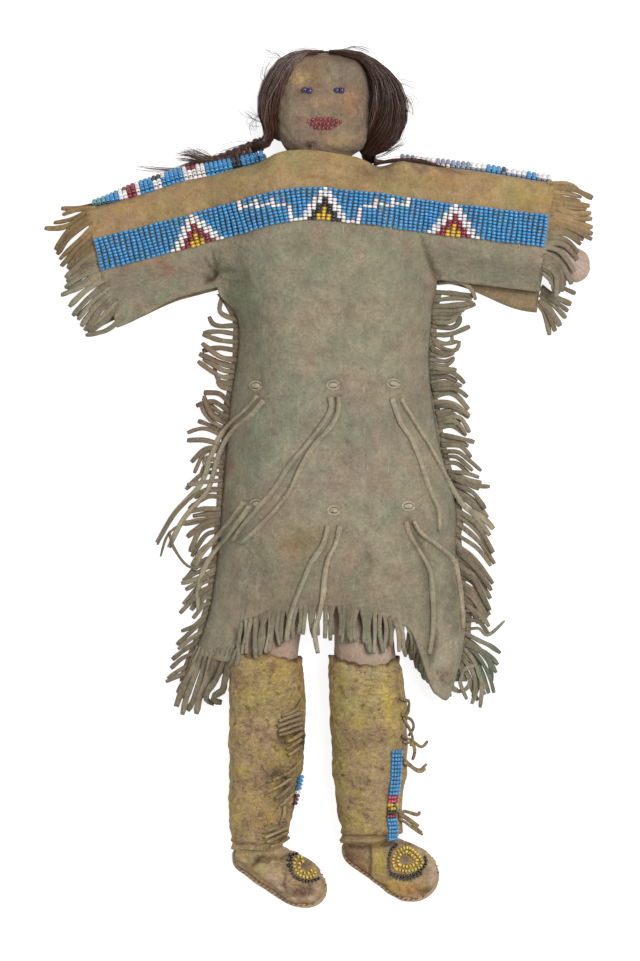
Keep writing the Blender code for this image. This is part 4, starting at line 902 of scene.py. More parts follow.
SIDE_STRANDS_LEFT = (
    ((236, 309.5), (225.5, 299), (224, 290)), ((236.6, 318.5), (219.5, 311), (222.5, 291.5)),
    ((236, 324.5), (215, 324.5), (208.4, 315.5)), ((237.5, 333.5), (218, 330.5), (202.4, 332)),
    ((236.6, 341), (219.5, 339.5), (201.8, 333.5)), ((236.6, 350), (218, 347), (201.5, 350)),
    ((235.4, 359), (219.5, 356), (201.5, 342.5)), ((233, 366), (219.5, 362), (198.5, 353)),
    ((233.6, 375.5), (219.5, 375.5), (197, 360.5)), ((232.4, 381.5), (218, 380), (213.5, 365)),
    ((230.6, 389), (221, 386), (216.5, 380)), ((228.5, 404), (219.5, 393.5), (203, 392)),
    ((227, 410), (212, 401), (195.5, 405.5)), ((225.5, 419), (212, 413), (203, 395)),
    ((223.4, 428), (209, 419), (200, 404)), ((221.6, 435.5), (203, 428), (186.5, 432.5)),
    ((219.8, 444.5), (204.5, 440), (186.5, 440)), ((219.2, 452), (204.5, 452), (193.4, 473)),
    ((218.6, 461), (206, 458), (204, 463), (209, 469)), ((218.6, 474.5), (203, 473), (185, 489.5)),
    ((218.6, 480.5), (204.5, 482), (186.5, 485)), ((218, 497), (206, 497), (188, 509)),
    ((217.4, 509), (203, 509), (188, 512)), ((216.5, 516.5), (200, 521), (182, 524)),
    ((217.4, 524), (200, 530), (189.5, 552.5)), ((217.4, 531.5), (204.5, 536), (191, 557)),
    ((216.5, 543.5), (203, 548), (191, 566)), ((215.6, 557), (200, 563), (182, 584)),
    ((215, 569), (200, 578), (180.5, 584)), ((213.5, 581), (201.5, 584), (182, 605)),
    ((212, 587), (200, 593), (179, 614)), ((210.5, 599), (203, 599), (197, 614)),
    ((206, 614), (194, 626), (180.5, 632)), ((204.5, 620), (191, 632), (176, 645.5)),
    ((201.5, 632), (188, 641), (177.5, 650)), ((200, 641), (185, 650), (171.5, 660.5)),
    ((195.5, 653), (182, 659), (170, 669.5)), ((192.5, 665), (179, 671), (166.4, 680)),
    ((190, 672), (178, 677), (165, 683)),
)
SIDE_STRANDS_RIGHT = (
    ((442.4, 281.5), (467.1, 282.8), (476.7, 298.6)), ((438.3, 291), (456, 292.4), (474, 295)),
    ((435.6, 299.3), (456, 297.2), (472.6, 299.3)), ((434.2, 308.9), (456, 308.9), (476.7, 302.7)),
    ((437, 317), (452, 317), (461.6, 312)), ((436.9, 325.3), (456, 326), (461, 315)),
    ((436, 333.5), (450.6, 333.5), (471, 325.3)),
    ((436, 342), (449, 350), (461, 347), (458, 339), (450, 343)), ((434, 354), (446, 355), (455, 352)),
    ((434, 363.7), (446.5, 365), (454.8, 358.2)), ((434, 372), (453.4, 372), (465.7, 383)),
    ((435.6, 381.5), (450.6, 381.5), (463, 385.6)), ((437, 388.4), (456, 388.4), (468.5, 396.6)),
    ((438.3, 395.2), (453.4, 392.5), (469.8, 409)), ((439.7, 402), (454.8, 403.5), (470.5, 415.8)),
    ((441, 411.7), (456, 409), (469.8, 417.2)), ((442.4, 418.6), (460.2, 417.2), (470.5, 432.3)),
    ((443.8, 426.8), (453.4, 425.4), (467.1, 435)), ((445.2, 435), (458.9, 437.7), (475.3, 441.9)),
    ((445.8, 444.6), (461.6, 446), (471.9, 457)), ((447.2, 451.5), (460.2, 452.8), (482.2, 470.7)),
    ((449.3, 462.4), (458.9, 463.8), (469.8, 473.4)), ((452.7, 471.7), (467.6, 473.3), (480, 477.5)),
    ((453.5, 475), (475.9, 484.9), (490.9, 486.6)), ((457.7, 484.9), (474.3, 493.2), (485.9, 509)),
    ((460, 495), (474, 506), (495, 528.9)), ((460, 512), (477.6, 524.7), (494.2, 552.9)),
    ((460, 524.7), (479.3, 541.3), (495.8, 564.5)), ((460, 536.3), (479.3, 549.6), (491.7, 566.2)),
    ((461, 548), (475.9, 559.6), (494.2, 584.4)), ((461, 555), (475.9, 567.8), (492.5, 591)),
    ((462.7, 563), (474.3, 573), (491.7, 599.4)), ((463.5, 574), (474.3, 580), (490.9, 611)),
    ((463.5, 584), (475.9, 592.7), (490.9, 616)), ((464.3, 592), (475.9, 602.7), (490, 627.5)),
    ((465.2, 601), (474.3, 614.3), (479.3, 624.2)), ((466, 612), (475.9, 611), (485.9, 624.2)),
    ((466, 621), (479.3, 622), (489.2, 634.2)),
)
THIN_STRANDS = (
    ((218.6, 488), (200, 491), (173, 515), (156.5, 545)),
    ((215, 518), (191, 521), (168.5, 533), (159.5, 557)),
    ((214, 562), (189.5, 567.5), (173, 548), (168.5, 531.5)),
    ((466, 631), (479.3, 629.2), (489.2, 635.8), (505.8, 621.7)),
)
CORNER_STRANDS = (
    ((197, 650), (187, 676), (180, 694), (175.3, 708)),
    ((203, 652), (193, 680), (186, 698), (181.4, 716)), ((208, 652), (201, 676), (193, 700), (187, 712)),
    ((213, 652), (206, 680), (199, 698), (195.7, 715)), ((219, 652), (211, 672), (205, 690), (198, 700)),
    ((195, 666), (184, 684), (177, 694)), ((223, 652), (214, 672), (206, 684), (200, 690)),
    ((229, 650), (217, 678), (208, 691), (206, 700), (213, 705)),
    ((233, 652), (225, 680), (223, 690), (215, 695.5), (214, 701), (221, 703)),
    ((237, 652), (231, 664), (224, 674)), ((200, 651), (190, 672), (186, 684), (183, 700)),
)
TORN_STRANDS = (
    ((412, 628), (408, 642), (408, 654)), ((415, 636), (411, 648), (412, 660)),
    ((418, 642), (415, 654), (417, 668)), ((421, 648), (418, 662), (421, 672)),
    ((425, 656), (422, 668), (426, 680)), ((430, 664), (427, 674), (430, 684)),
    ((434, 672), (433, 682), (437, 692)), ((440, 678), (439, 688), (443, 697)),
    ((447, 684), (447, 692), (451, 697)), ((452, 680), (453, 688), (458, 692)),
)
GREEN_STRANDS = (
    ((466, 634), (479, 641), (490, 646), (501.6, 654)),
    ((467, 640), (476, 646), (487.5, 657.4), (497.5, 674)),
    ((468, 648), (477, 655), (489, 674), (495, 694)),
    ((466, 652), (476, 658), (484, 675.6), (490, 694.7)),
    ((466, 658), (477, 666), (482.6, 685.6), (481, 708.8)),
    ((464, 662), (475, 669), (479, 685.6), (472.6, 705.5)),
    ((459, 666), (463, 674), (461, 684), (467.6, 700.5)),
    ((462, 668), (468, 676), (471, 684), (466, 691), (457.7, 693)),
    ((465, 644), (480, 652), (490, 664), (493, 682)), ((464, 654), (472, 662), (478, 680), (486, 696)),
    ((460, 674), (470, 668), (478, 666)), ((466, 646), (479, 650), (492, 658), (499, 666)),
    ((465, 650), (475, 662), (480, 676), (486, 690)), ((462, 664), (470, 678), (473, 690), (479, 702)),
    ((463, 660), (472, 670), (476, 684), (474, 698)),
)
HEM_STRANDS = 42
HEM_TIPS = (
    (236, 660), (249.7, 654.7), (265.5, 651.7), (283, 643.8), (299, 637), (315, 633), (338.6, 639),
    (354.4, 641), (370, 648.8), (388, 646.8), (402, 650.7), (416, 658), (425.6, 664.6),
)


def arm_height(x, y):
    """The height of the arms' tops past the sleeves' ends, or 0 elsewhere."""
    top = np.zeros_like(x)
    for arm, here in ((ARM_LEFT, x < 0), (ARM_RIGHT, x >= 0)):
        y_at = curve_through([(a[0], a[1]) for a in arm], x)
        z_at = curve_through([(a[0], a[2]) for a in arm], x)
        r = np.minimum(np.abs(y - y_at) / (ARM_WIDE + 1), 1)
        near = here & (np.abs(x) < abs(arm[-1][0]) + 2) & (r < 1)
        top = np.where(near, z_at + ARM_DEEP * (1 - r**LIMB_POWER) ** (1 / LIMB_POWER), top)
    return top


def leg_height(x, y):
    """The height of the leggings' tops below the hem."""
    best = np.zeros_like(x)
    for stations in (LEG_LEFT, LEG_RIGHT):
        x_at, z_at, wide, deep = (curve_through([(s[1], s[k]) for s in stations], y) for k in (0, 2, 3, 4))
        r = np.minimum(np.abs(x - x_at) / (wide + HIDE + 2 * LEG_SLACK), 1)
        top = z_at + (deep + HIDE + LEG_SLACK) * (1 - r**LIMB_POWER) ** (1 / LIMB_POWER)
        best = np.where(r < 1, np.maximum(best, top), best)
    return best


def strand_lines(rows, count=14, tuck=0.0):
    """Lines of strands, each reaching back under the hide by a tuck in millimetres."""
    lines = []
    for row in rows:
        places = np.array([on_photo(*p) for p in row])
        back = unit(places[0] - places[1]) * tuck
        lines.append(route_through([places[0] + back, *places[1:]], count))
    return np.stack(lines)


def filled(rows, share, seed):
    """The rows, with a shorter and stray strand between some neighbours."""
    dice = np.random.default_rng(seed)
    lines = [route_through(row, 5) for row in rows]
    for above, below in zip(lines[:-1], lines[1:]):
        line = mix(above, below, dice.uniform(0.35, 0.65))
        line = line + dice.normal(0, 1.1, 2) * np.linspace(0, 1, 5)[:, None]
        if dice.random() < share:
            lines.append(mix(line[0], line, dice.uniform(0.72, 0.98)))
    return lines


def fringe(name, lines, heights, seed, colours, wide=STRAND_WIDE, flare=0.0, looks=DRESS_LOOK):
    """A piece of many strands. lines is strand, point, xy and heights is strand, point."""
    dice = np.random.default_rng(seed)
    count, length, _ = lines.shape
    t = np.linspace(0, 1, length)
    heights = heights + 0.25 * ripple(np.concatenate([lines, heights[..., None]], -1), 7, seed)
    paths = np.concatenate([lines, heights[..., None]], -1)
    turn = dice.uniform(-0.5, 0.5, (count, 1)) * t + dice.uniform(-0.2, 0.2, (count, 1))
    tangent = unit(np.gradient(paths, axis=1))
    side = unit(np.cross(tangent, (0, 0, 1.0)))
    up = np.array((0, 0, 1.0)) * np.cos(turn)[..., None] + side * np.sin(turn)[..., None]
    widths = wide * dice.uniform(0.82, 1.12, (count, 1)) * (1 + 0.10 * ripple(paths, 5, seed + 1))
    widths = widths * (1 - 0.25 * smooth((t - 0.9) / 0.1)) * (1 + flare * (1 - smooth(t / 0.45)))
    points, faces = tubes(paths, up, widths, STRAND_THICK * dice.uniform(0.85, 1.15, (count, 1)), RIBBON)
    tone = np.repeat(dice.uniform(0.76, 1.16, count), length * len(RIBBON))[:, None]
    # The sides of each strand are painted darker, as painted shade between the strands.
    shade = np.tile(np.where(np.abs(np.array(RIBBON)[:, 0]) > 0.45, 0.72, 1.0), count * length)[:, None]
    return mesh_piece(name, points, faces, looks, np.clip(colours(points) * tone * shade, 0, 1))


def sleeve_heights(lines):
    """Heights of strands that leave the sleeve's end and sink, passing over the hand."""
    root = lines[:, :1]
    start = dress_top(root[..., 0], root[..., 1]) - 0.5 * STRAND_THICK
    t = np.linspace(0, 1, lines.shape[1])
    end = np.maximum(start - SLEEVE_FRINGE_DROP, 3.2)
    plain = mix(start, end, t**1.8) - 0.5 * (1 - smooth(t * 8))
    return np.maximum(plain, arm_height(lines[..., 0], lines[..., 1]) + 1.4)


def layered(lines, low, high, seed):
    """Heights of strands that lie on each other near the surface, rising and sinking."""
    dice = np.random.default_rng(seed)
    count, length, _ = lines.shape
    t = np.linspace(0, 1, length)
    level = np.where(np.arange(count) % 2, low, high)[:, None] + dice.uniform(-0.3, 0.3, (count, 1))
    arch = dice.uniform(0.0, 1.6, (count, 1)) * np.sin(math.pi * t)
    return mix(2.1, level, smooth(t * 3)) + arch


def side_colours(points):
    spots = (((205, 400), (30, 70), (128, 108, 86), 0.6), ((205, 560), (30, 60), (136, 124, 100), 0.5),
             ((485, 650), (20, 30), (122, 128, 106), 0.6), ((470, 500), (30, 60), (150, 136, 118), 0.5))
    return painted(points, rgb(142, 130, 110), spots, 9)


def sleeve_end_colours(points):
    """The dress's own colours, with more brown where the fringe was handled."""
    brown = (((75, 245), (26, 26), (138, 108, 78), 0.6), ((72, 215), (20, 14), (150, 122, 66), 0.6),
             ((575, 215), (30, 30), (148, 122, 88), 0.6), ((570, 260), (26, 26), (146, 122, 100), 0.5))
    return painted(points, dress_colours(points), brown, 10)


def corner_colours(points):
    brown = (((190, 690), (20, 22), (148, 130, 112), 0.6), ((222, 668), (14, 12), (108, 92, 74), 0.6),
             ((214, 694), (12, 12), (104, 104, 84), 0.6))
    return painted(points, dress_colours(points), brown, 11)


def green_colours(points):
    spots = (((490, 660), (12, 26), (112, 126, 104), 0.6), ((468, 664), (12, 12), (166, 156, 136), 0.7),
             ((500, 656), (8, 10), (104, 124, 104), 0.6), ((474, 700), (10, 10), (150, 140, 120), 0.6))
    return painted(points, rgb(142, 134, 116), spots, 12)


def hem_lines(seed):
    """Strands from the hem's edge to the line of their tips."""
    dice = np.random.default_rng(seed)
    tips = route_through([on_photo(*p) for p in HEM_TIPS], HEM_STRANDS)
    lines = []
    for k, tip in enumerate(tips):
        lean = 0.9 * (k / (HEM_STRANDS - 1) - 0.5)
        root_x = tip[0] - lean * 3 + dice.uniform(-0.25, 0.25)
        root = np.array((root_x, float(hem_y(root_x)) + 1.6))
        tip = tip + dice.uniform(-0.8, 0.8, 2) * (1.9, 2.6)
        middle = (root + tip) / 2 + (dice.uniform(-1.1, 1.1), 0)
        lines.append(route_through([root, middle, tip], 12))
    return np.stack(lines)


def hem_heights(lines):
    """Heights of strands that hang from the hem over the legs."""
    root = lines[:, :1]
    start = dress_top(root[..., 0], root[..., 1]) - 0.5 * STRAND_THICK
    t = np.linspace(0, 1, lines.shape[1])
    corner = smooth((np.abs(root[..., 0] - BODY_X) - 28) / 14)
    low = mix(start - 1.2, 2.6, corner)
    plain = mix(start, low, t**1.4) - 0.5 * (1 - smooth(t * 8))
    return np.maximum(np.maximum(plain, leg_height(lines[..., 0], lines[..., 1]) + 1.0), 2.6)


def make_fringes():
    """Every fringe of the dress. Returns those that are cut from its hides."""
    made = {}
    for side, rows, seed in (("left", SLEEVE_STRANDS_LEFT, 31), ("right", SLEEVE_STRANDS_RIGHT, 32)):
        lines = strand_lines(filled(rows, 0.25, seed), tuck=2.2)
        made[f"sleeve_{side}"] = fringe(f"sleeve_fringe_{side}", lines, sleeve_heights(lines), seed,
                                        sleeve_end_colours, wide=2.15, flare=0.25)
    lines = strand_lines(SLEEVE_STRANDS_BACK)
    made["back"] = fringe("back_sleeve_fringe", lines, layered(lines, 1.6, 2.4, 33) - 0.7, 33, side_colours)
    sides = (("left", SIDE_STRANDS_LEFT, 0.4, 34), ("right", SIDE_STRANDS_RIGHT, 0.8, 35))
    for side, rows, share, seed in sides:
        lines = strand_lines(filled(rows, share, seed), tuck=1.8)
        heights = layered(lines, 2.1, 3.6, seed)
        strands = fringe(f"side_strands_{side}", lines, heights, seed, side_colours, 2.0)
        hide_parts(f"side_fringe_{side}")
    lines = strand_lines(THIN_STRANDS, 20)
    fringe("thin_strands", lines, layered(lines, 3.4, 4.6, 36), 36, side_colours, wide=1.3)
    lines = hem_lines(37)
    made["hem"] = fringe("hem_fringe", lines, hem_heights(lines), 37, dress_colours, wide=1.95, flare=0.3)
    lines = strand_lines(CORNER_STRANDS, 16, tuck=1.5)
    made["corner"] = fringe("corner_fringe", lines, hem_heights(lines), 38, corner_colours, wide=2.7)
    lines = strand_lines(TORN_STRANDS, tuck=1.0)
    made["torn"] = fringe("torn_fringe", lines, hem_heights(lines), 39, dress_colours, wide=2.3, flare=0.4)
    lines = strand_lines(GREEN_STRANDS, tuck=1.0)
    heights = np.minimum(layered(lines, 2.4, 4.2, 40), 6)
    made["green"] = fringe("green_corner_fringe", lines, heights, 40, green_colours, wide=1.9)
    return made


def make_welts():
    """The strip sewn into each side seam, from which the side strands are cut."""
    for side, left in (("left", True), ("right", False)):
        out = -1 if left else 1
        y = np.linspace(76, -84, 160)[:, None]
        across = np.linspace(-3.0, 2.6, 6)[None]
        x = side_x(y, left) + out * (across + 0.25 * ripple(np.stack([0 * y, y], -1), 5, 41) * (across > 2))
        x, y = np.broadcast_arrays(x, y)
        z = 2.3 + 0.12 * ripple(np.stack([x, y], -1), 6, 42)
        grid = quads(number_grid(*x.shape))
        grid = grid if left else grid[:, ::-1]
        points = np.stack([x, y, z], -1).reshape(-1, 3)
        colours = side_colours(points)
        strip = mesh_piece(f"side_welt_{side}", points, [grid[:, ::-1]], DRESS_LOOK, colours)
        thicken(strip, 0.9)
        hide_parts(f"side_fringe_{side}")


# Bead work

BLUE = (60, 140, 194)
TURQUOISE = (92, 156, 168)
WHITE = (236, 230, 230)
BLACK = (36, 32, 42)
RED = (138, 36, 58)
YELLOW = (214, 172, 50)


def bead_shape(sides=8, hole=0.42):
    """One bead along Y: a barrel with rounded ends that dip into its hole."""
    half = ((0.40, 0.88), (0.49, 0.62), (0.40, hole))
    profile = [*((-t, r) for t, r in half[::-1]), (0, 1.0), *half]
    angle = np.linspace(0, 2 * math.pi, sides, endpoint=False)
    circle = np.stack([0.5 * np.cos(angle), 0 * angle, 0.5 * np.sin(angle)], -1)
    rings = [circle * r + (0, t, 0) for t, r in profile]
    index = round_grid(len(profile), sides)
    return np.concatenate(rings), [quads(index), index[:1, :-1][:, ::-1], index[-1:, :-1]]


BEAD_POINTS, BEAD_FACES = bead_shape()


def string_beads(centres, along, outward, wide, long, colours, seed):
    """Points, faces and colours of many beads. along is each bead's hole and outward its top."""
    dice = np.random.default_rng(seed)
    count = len(centres)
    along = unit(along + dice.normal(0, 0.05, (count, 3)))
    side = unit(np.cross(along, outward))
    top = np.cross(side, along)
    wide = (wide * dice.uniform(0.96, 1.06, count))[:, None, None]
    long = (np.broadcast_to(long, count) * dice.uniform(0.92, 1.06, count))[:, None, None]
    shape = BEAD_POINTS[None]
    points = centres[:, None] + side[:, None] * shape[..., :1] * wide
    points = points + along[:, None] * shape[..., 1:2] * long + top[:, None] * shape[..., 2:] * wide
    shift = (np.arange(count) * len(BEAD_POINTS))[:, None, None]
    faces = [(shift + f[None]).reshape(-1, f.shape[1]) for f in BEAD_FACES]
    tone = dice.uniform(0.80, 1.16, (count, 1)) * (1 + dice.normal(0, 0.05, (count, 3)))
    shades = np.clip(np.array([rgb(*c) for c in colours]) * tone, 0, 1)
    return points.reshape(-1, 3), faces, np.repeat(shades, len(BEAD_POINTS), axis=0)


def bead_piece(name, parts, node, looks=BEAD_LOOK):
    points, faces = joined([part[:2] for part in parts])
    piece = mesh_piece(name, points, faces, looks, np.concatenate([part[2] for part in parts]))
    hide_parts(node)


LANE_CENTRE = 1.0
LANE_PITCH = 2.02
LANE_ROWS = 10
PEAK_AWAY = 26


def peak_colour(k, row, inner):
    """A stepped peak: a white edge, a dark inside and a yellow heart."""
    top, low = ((9, 7), (8, 5), (6, 3), (4, 1), (2, 0), (0, 0))[k]
    if row > top:
        return BLUE
    if row >= low:
        return WHITE
    if k <= 1 and row < 4 - 2 * k:
        return YELLOW
    return inner


def lane_colour(column, row):
    """The bead lane's traditional pattern: one black peak with wings between two red peaks."""
    k = abs(column)
    if k <= 5:
        return peak_colour(k, row, BLACK)
    if k == 6:
        return WHITE if row < 1 else BLUE
    if k == 7:
        return WHITE if row < 5 else BLUE
    if k <= 16:
        step, place = divmod(k - 8, 3)
        return WHITE if 5 + step <= row <= 5 + step + (2 if place == 2 else 0) else BLUE
    if abs(k - PEAK_AWAY) <= 5:
        return peak_colour(abs(k - PEAK_AWAY), row, RED)
    return BLUE


def make_front_lane():
    count = round((SLEEVE_RIGHT - SLEEVE_LEFT - 2) / LANE_PITCH)
    feet = np.linspace(SLEEVE_LEFT + 1.2, SLEEVE_RIGHT - 1.6, count)
    middle = int(np.argmin(np.abs(feet - LANE_CENTRE)))
    dice = np.random.default_rng(61)
    centres, along, outward, colours = [], [], [], []
    for i, foot in enumerate(feet):
        rows = LANE_ROWS
        shift = 0.12 * math.sin(i * 0.6) + dice.uniform(-0.12, 0.12)
        v = (np.arange(rows) - (rows - 1) / 2) * BEAD_LONG * 0.93 + shift
        sway = 0.18 * np.sin(v * 0.4 + i)
        x, y = off_line(foot + sway, v)
        up = surface_normal(dress_height, x, y)
        base = np.stack([x, y, dress_top(x, y)], -1)
        centres.append(base + up * (BEAD_WIDE / 2 + 0.15))
        nx, ny = shoulder_normal(foot)
        way = np.broadcast_to(np.array((nx, ny, 0.0)), base.shape)
        along.append(unit(way - up * (way * up).sum(axis=1, keepdims=True)))
        outward.append(up)
        colours += [lane_colour(i - middle, row) for row in range(rows)]
    centres, along, outward = (np.concatenate(a) for a in (centres, along, outward))
    part = string_beads(centres, along, outward, BEAD_WIDE * 0.95, BEAD_LONG * 0.84, colours, 62)
    bead_piece("front_lane_beads", [part], "front_bead_lane")


# Runs of columns along each shoulder: how many, and the colours of the outer and inner rows
SHOULDER_RUNS_LEFT = (
    (3, TURQUOISE, TURQUOISE), (3, BLUE, BLUE), (1, WHITE, WHITE), (1, RED, WHITE), (2, RED, RED),
    (1, WHITE, WHITE), (3, BLUE, BLUE), (2, BLACK, WHITE), (1, WHITE, BLUE), (4, BLUE, BLUE),
    (1, WHITE, WHITE), (2, RED, WHITE), (2, WHITE, WHITE), (6, BLUE, BLUE), (2, BLACK, BLACK),
    (5, BLUE, BLUE),
)
DULL = (126, 136, 156)
SHOULDER_RUNS_RIGHT = (
    (3, DULL, BLUE), (4, WHITE, WHITE), (3, DULL, WHITE), (4, DULL, DULL), (3, WHITE, DULL),
    (3, BLUE, BLUE), (1, BLACK, DULL), (4, WHITE, DULL), (2, BLUE, BLUE), (3, WHITE, DULL),
)
# The folded edge that carries the beads: how far beyond the hide's far edge it bulges, and at what height
FOLD_LEFT = (
    (-2.6, 12.6), (-0.6, 12.2), (1.2, 10.8), (2.5, 8.6), (3.1, 6.2), (2.6, 4.0), (1.2, 2.6), (-0.6, 2.2),
)
FOLD_RIGHT = (
    (-2.4, 11.4), (-0.7, 10.8), (0.7, 9.2), (1.5, 7.2), (1.6, 5.2), (0.9, 3.4), (-0.7, 2.4),
)


def fold_places(fold, feet, shares):
    """Points on the folded edge and their outward ways, at feet along the shoulder and shares round it."""
    line = route_through(fold, 60)
    t = np.linspace(0, 1, 60)
    out, high = (np.interp(shares, t, line[:, k]) for k in range(2))
    slope = np.gradient(line, axis=0)
    out_way, high_way = np.interp(shares, t, -slope[:, 1]), np.interp(shares, t, slope[:, 0])
    nx, ny = shoulder_normal(feet)
    out = out * mix(0.1, 1.0, smooth((feet - SLEEVE_LEFT - 1) / 24))
    x, y = off_line(feet, yoke_edge(feet) + out)
    rise = smooth((np.abs(feet - NECK_X) - 0.9 * NECK_HALF) / 4)
    points = np.stack([x, y, mix(high + 6, high, rise)], -1)
    return points, unit(np.stack([nx * out_way, ny * out_way, high_way], -1))


def make_shoulder_lane(side, start, end, runs, fold, rows, inner_rows, seed):
    """A fold of hide along the shoulder's far edge, with rows of beads sewn round it."""
    feet, shares = np.meshgrid(np.linspace(start, end, 120), np.linspace(0, 1, 22), indexing="ij")
    points, outward = fold_places(fold, feet, shares)
    points = (points - outward * (0.2 + 0.15 * ripple(points, 6, seed)[..., None])).reshape(-1, 3)
    # The fold is painted darker than the yoke, as painted shade.
    colours = painted(points, YOKE_COLOUR * FOLD_PAINTED_SHADE, seed=seed)
    faces = [quads(number_grid(120, 22))]
    strip = mesh_piece(f"shoulder_fold_{side}", points, faces, DRESS_LOOK, colours)
    thicken(strip, 0.8)
    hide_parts("dress_front")
    columns = [(outer, inner) for count, outer, inner in runs for _ in range(count)]
    feet = np.repeat(np.linspace(start + 1.2, end - 1.2, len(columns)), rows)
    shares = np.tile(np.linspace(0.08, 0.08 + 0.088 * (rows - 1), rows), len(columns))
    points, outward = fold_places(fold, feet, shares)
    ahead, _ = fold_places(fold, feet, shares + 0.02)
    colours = []
    for outer, inner in columns:
        colours += [inner] * inner_rows + [outer] * (rows - inner_rows)
    centres = points + outward * (0.42 * BEAD_WIDE)
    along = unit(ahead - points)
    part = string_beads(centres, along, outward, BEAD_WIDE * 0.95, BEAD_LONG * 0.88, colours, seed)
    bead_piece(f"shoulder_beads_{side}", [part], f"shoulder_bead_lane_{side}")


# Thong ties: each leaves a slit in the front hide as two tails. The routes are those of the CAD's ties.
TIES = {
    "tie_upper_left": (
        ((-25.4, 33.6), (-30.8, 27.5), (-37.1, 22.3), (-41.4, 17.2), (-43.6, 12.1), (-45.8, 7), (-47.2, 1.6),
         (-50, -3.7), (-54.9, -9), (-60.7, -15.6), (-67.2, -26.7)),
        ((-23, 31.6), (-28.7, 25.2), (-35, 20.3), (-39.1, 15.2), (-41.1, 11.1), (-43, 5.9), (-44.3, 0.6),
         (-46.7, -5.7), (-51.3, -11.1), (-57, -18), (-62.3, -28.7)),
    ),
    "tie_upper_middle": (
        ((4.1, 33), (4.5, 28.3), (1.6, 23), (-5.7, 13.5), (-12.3, 5.3), (-18, -3.7), (-23.8, -10.7),
         (-28.7, -16.4), (-32.8, -21.3), (-35.7, -25.8)),
        ((7.2, 33), (7.4, 27.5), (4.3, 20.9), (-2.7, 12.7), (-8, 4.1), (-12.1, -4.9), (-17.8, -12.7),
         (-23.8, -18.9), (-28.7, -23.8), (-32.4, -26.7)),
    ),
    "tie_upper_right": (
        ((29.4, 32.6), (30.3, 29.1), (32.8, 22.6), (37.1, 16), (40.5, 8.3), (43.5, -0.8), (45.9, -7.6),
         (48.4, -13.5), (48.8, -21.7)),
        ((33, 32.6), (34.2, 29.8), (38.8, 22.6), (44.7, 13.3), (49.6, 4.9), (53.9, -3.3), (59.7, -11.8),
         (66.4, -16), (71.3, -20.9)),
    ),
    "tie_lower_left": (
        ((-28.7, -11.3), (-31.4, -15.4), (-34.9, -20.1), (-38.5, -24.8), (-42.6, -29.1), (-46.3, -34.4),
         (-48.8, -40.2), (-50.4, -47.6), (-50, -54.5)),
        ((-31, -9.8), (-34, -13.9), (-37.5, -18.5), (-41.4, -23), (-45.7, -27.5), (-49.6, -32.4),
         (-51.8, -38)),
    ),
    "tie_lower_middle": (
        ((3.3, -19.3), (1.2, -26.9), (-3.9, -35.2), (-7.6, -43.6), (-11.4, -53.6), (-13, -61.1),
         (-13.5, -66.4)),
        ((8.2, -19.3), (6.2, -26.9), (3.3, -32.7), (2, -39.4), (1.2, -47.8), (-0.5, -56.2), (-2.2, -61.9),
         (-0.9, -71.2)),
    ),
    "tie_lower_right": (
        ((35, -17.6), (36.3, -22.7), (40.5, -30.2), (44.7, -37.7), (45.9, -46.1), (46.3, -56.2),
         (45.9, -64.4),
         (44.7, -72)),
        ((38.2, -17.6), (41.3, -22.7), (48, -27.7), (54.7, -33.5), (56.8, -39.4), (58.1, -47.8),
         (58.9, -56.2),
         (58.9, -61.9)),
    ),
}
TIE_POINTS = 40


def laid_height(x, y):
    """The height of what a thong lies on: the front hide, the hem's fringe or the side fringe."""
    inside = dress_top(np.clip(x, side_x(y, True), side_x(y, False)), np.maximum(y, hem_y(x)))
    over_leg = np.maximum(leg_height(x, y) + 2, inside - 2 * smooth((hem_y(x) - HEM_FRINGE - y) / 8))
    outside = np.maximum(np.maximum(side_x(y, True) - x, x - side_x(y, False)), 0)
    beside = mix(inside, 3.4, smooth(outside / 4))
    return np.where(y < hem_y(x), np.maximum(over_leg, 3.4), beside)


def make_ties():
    tails = [(f"{name}_{number}", route) for name, pair in TIES.items()
             for number, route in enumerate(pair, 1)]
    for count, (node, route) in enumerate(tails):
        flat = route_through(route, TIE_POINTS)
        height = laid_height(flat[:, 0], flat[:, 1])
        for _ in range(3):
            height = np.maximum(height, np.convolve(np.pad(height, 1, "edge"), (0.3, 0.4, 0.3), "valid"))
        path = np.column_stack([flat, height + 0.38 * THONG])
        dice = np.random.default_rng(70 + count)
        turn = 0.9 * np.sin(np.linspace(0, dice.uniform(2, 6), TIE_POINTS) + dice.uniform(0, 6))
        side = unit(np.cross(unit(np.gradient(path, axis=0)), (0, 0, 1.0)))
        up = np.array((0, 0, 1.0)) * np.cos(turn)[:, None] + side * np.sin(turn)[:, None]
        wide = THONG * (1 + 0.06 * ripple(path, 6, 71)) * (1 - 0.2 * smooth(np.linspace(-9, 1, TIE_POINTS)))
        points, faces = tubes(path[None], up[None], wide[None], 0.62 * THONG, RIBBON)
        colours = painted(points, rgb(166, 156, 134), seed=72) * dice.uniform(0.92, 1.08)
        tail = mesh_piece(f"{node}_thong", points, faces, DRESS_LOOK, colours)
        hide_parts(node)


# Body, head and hair


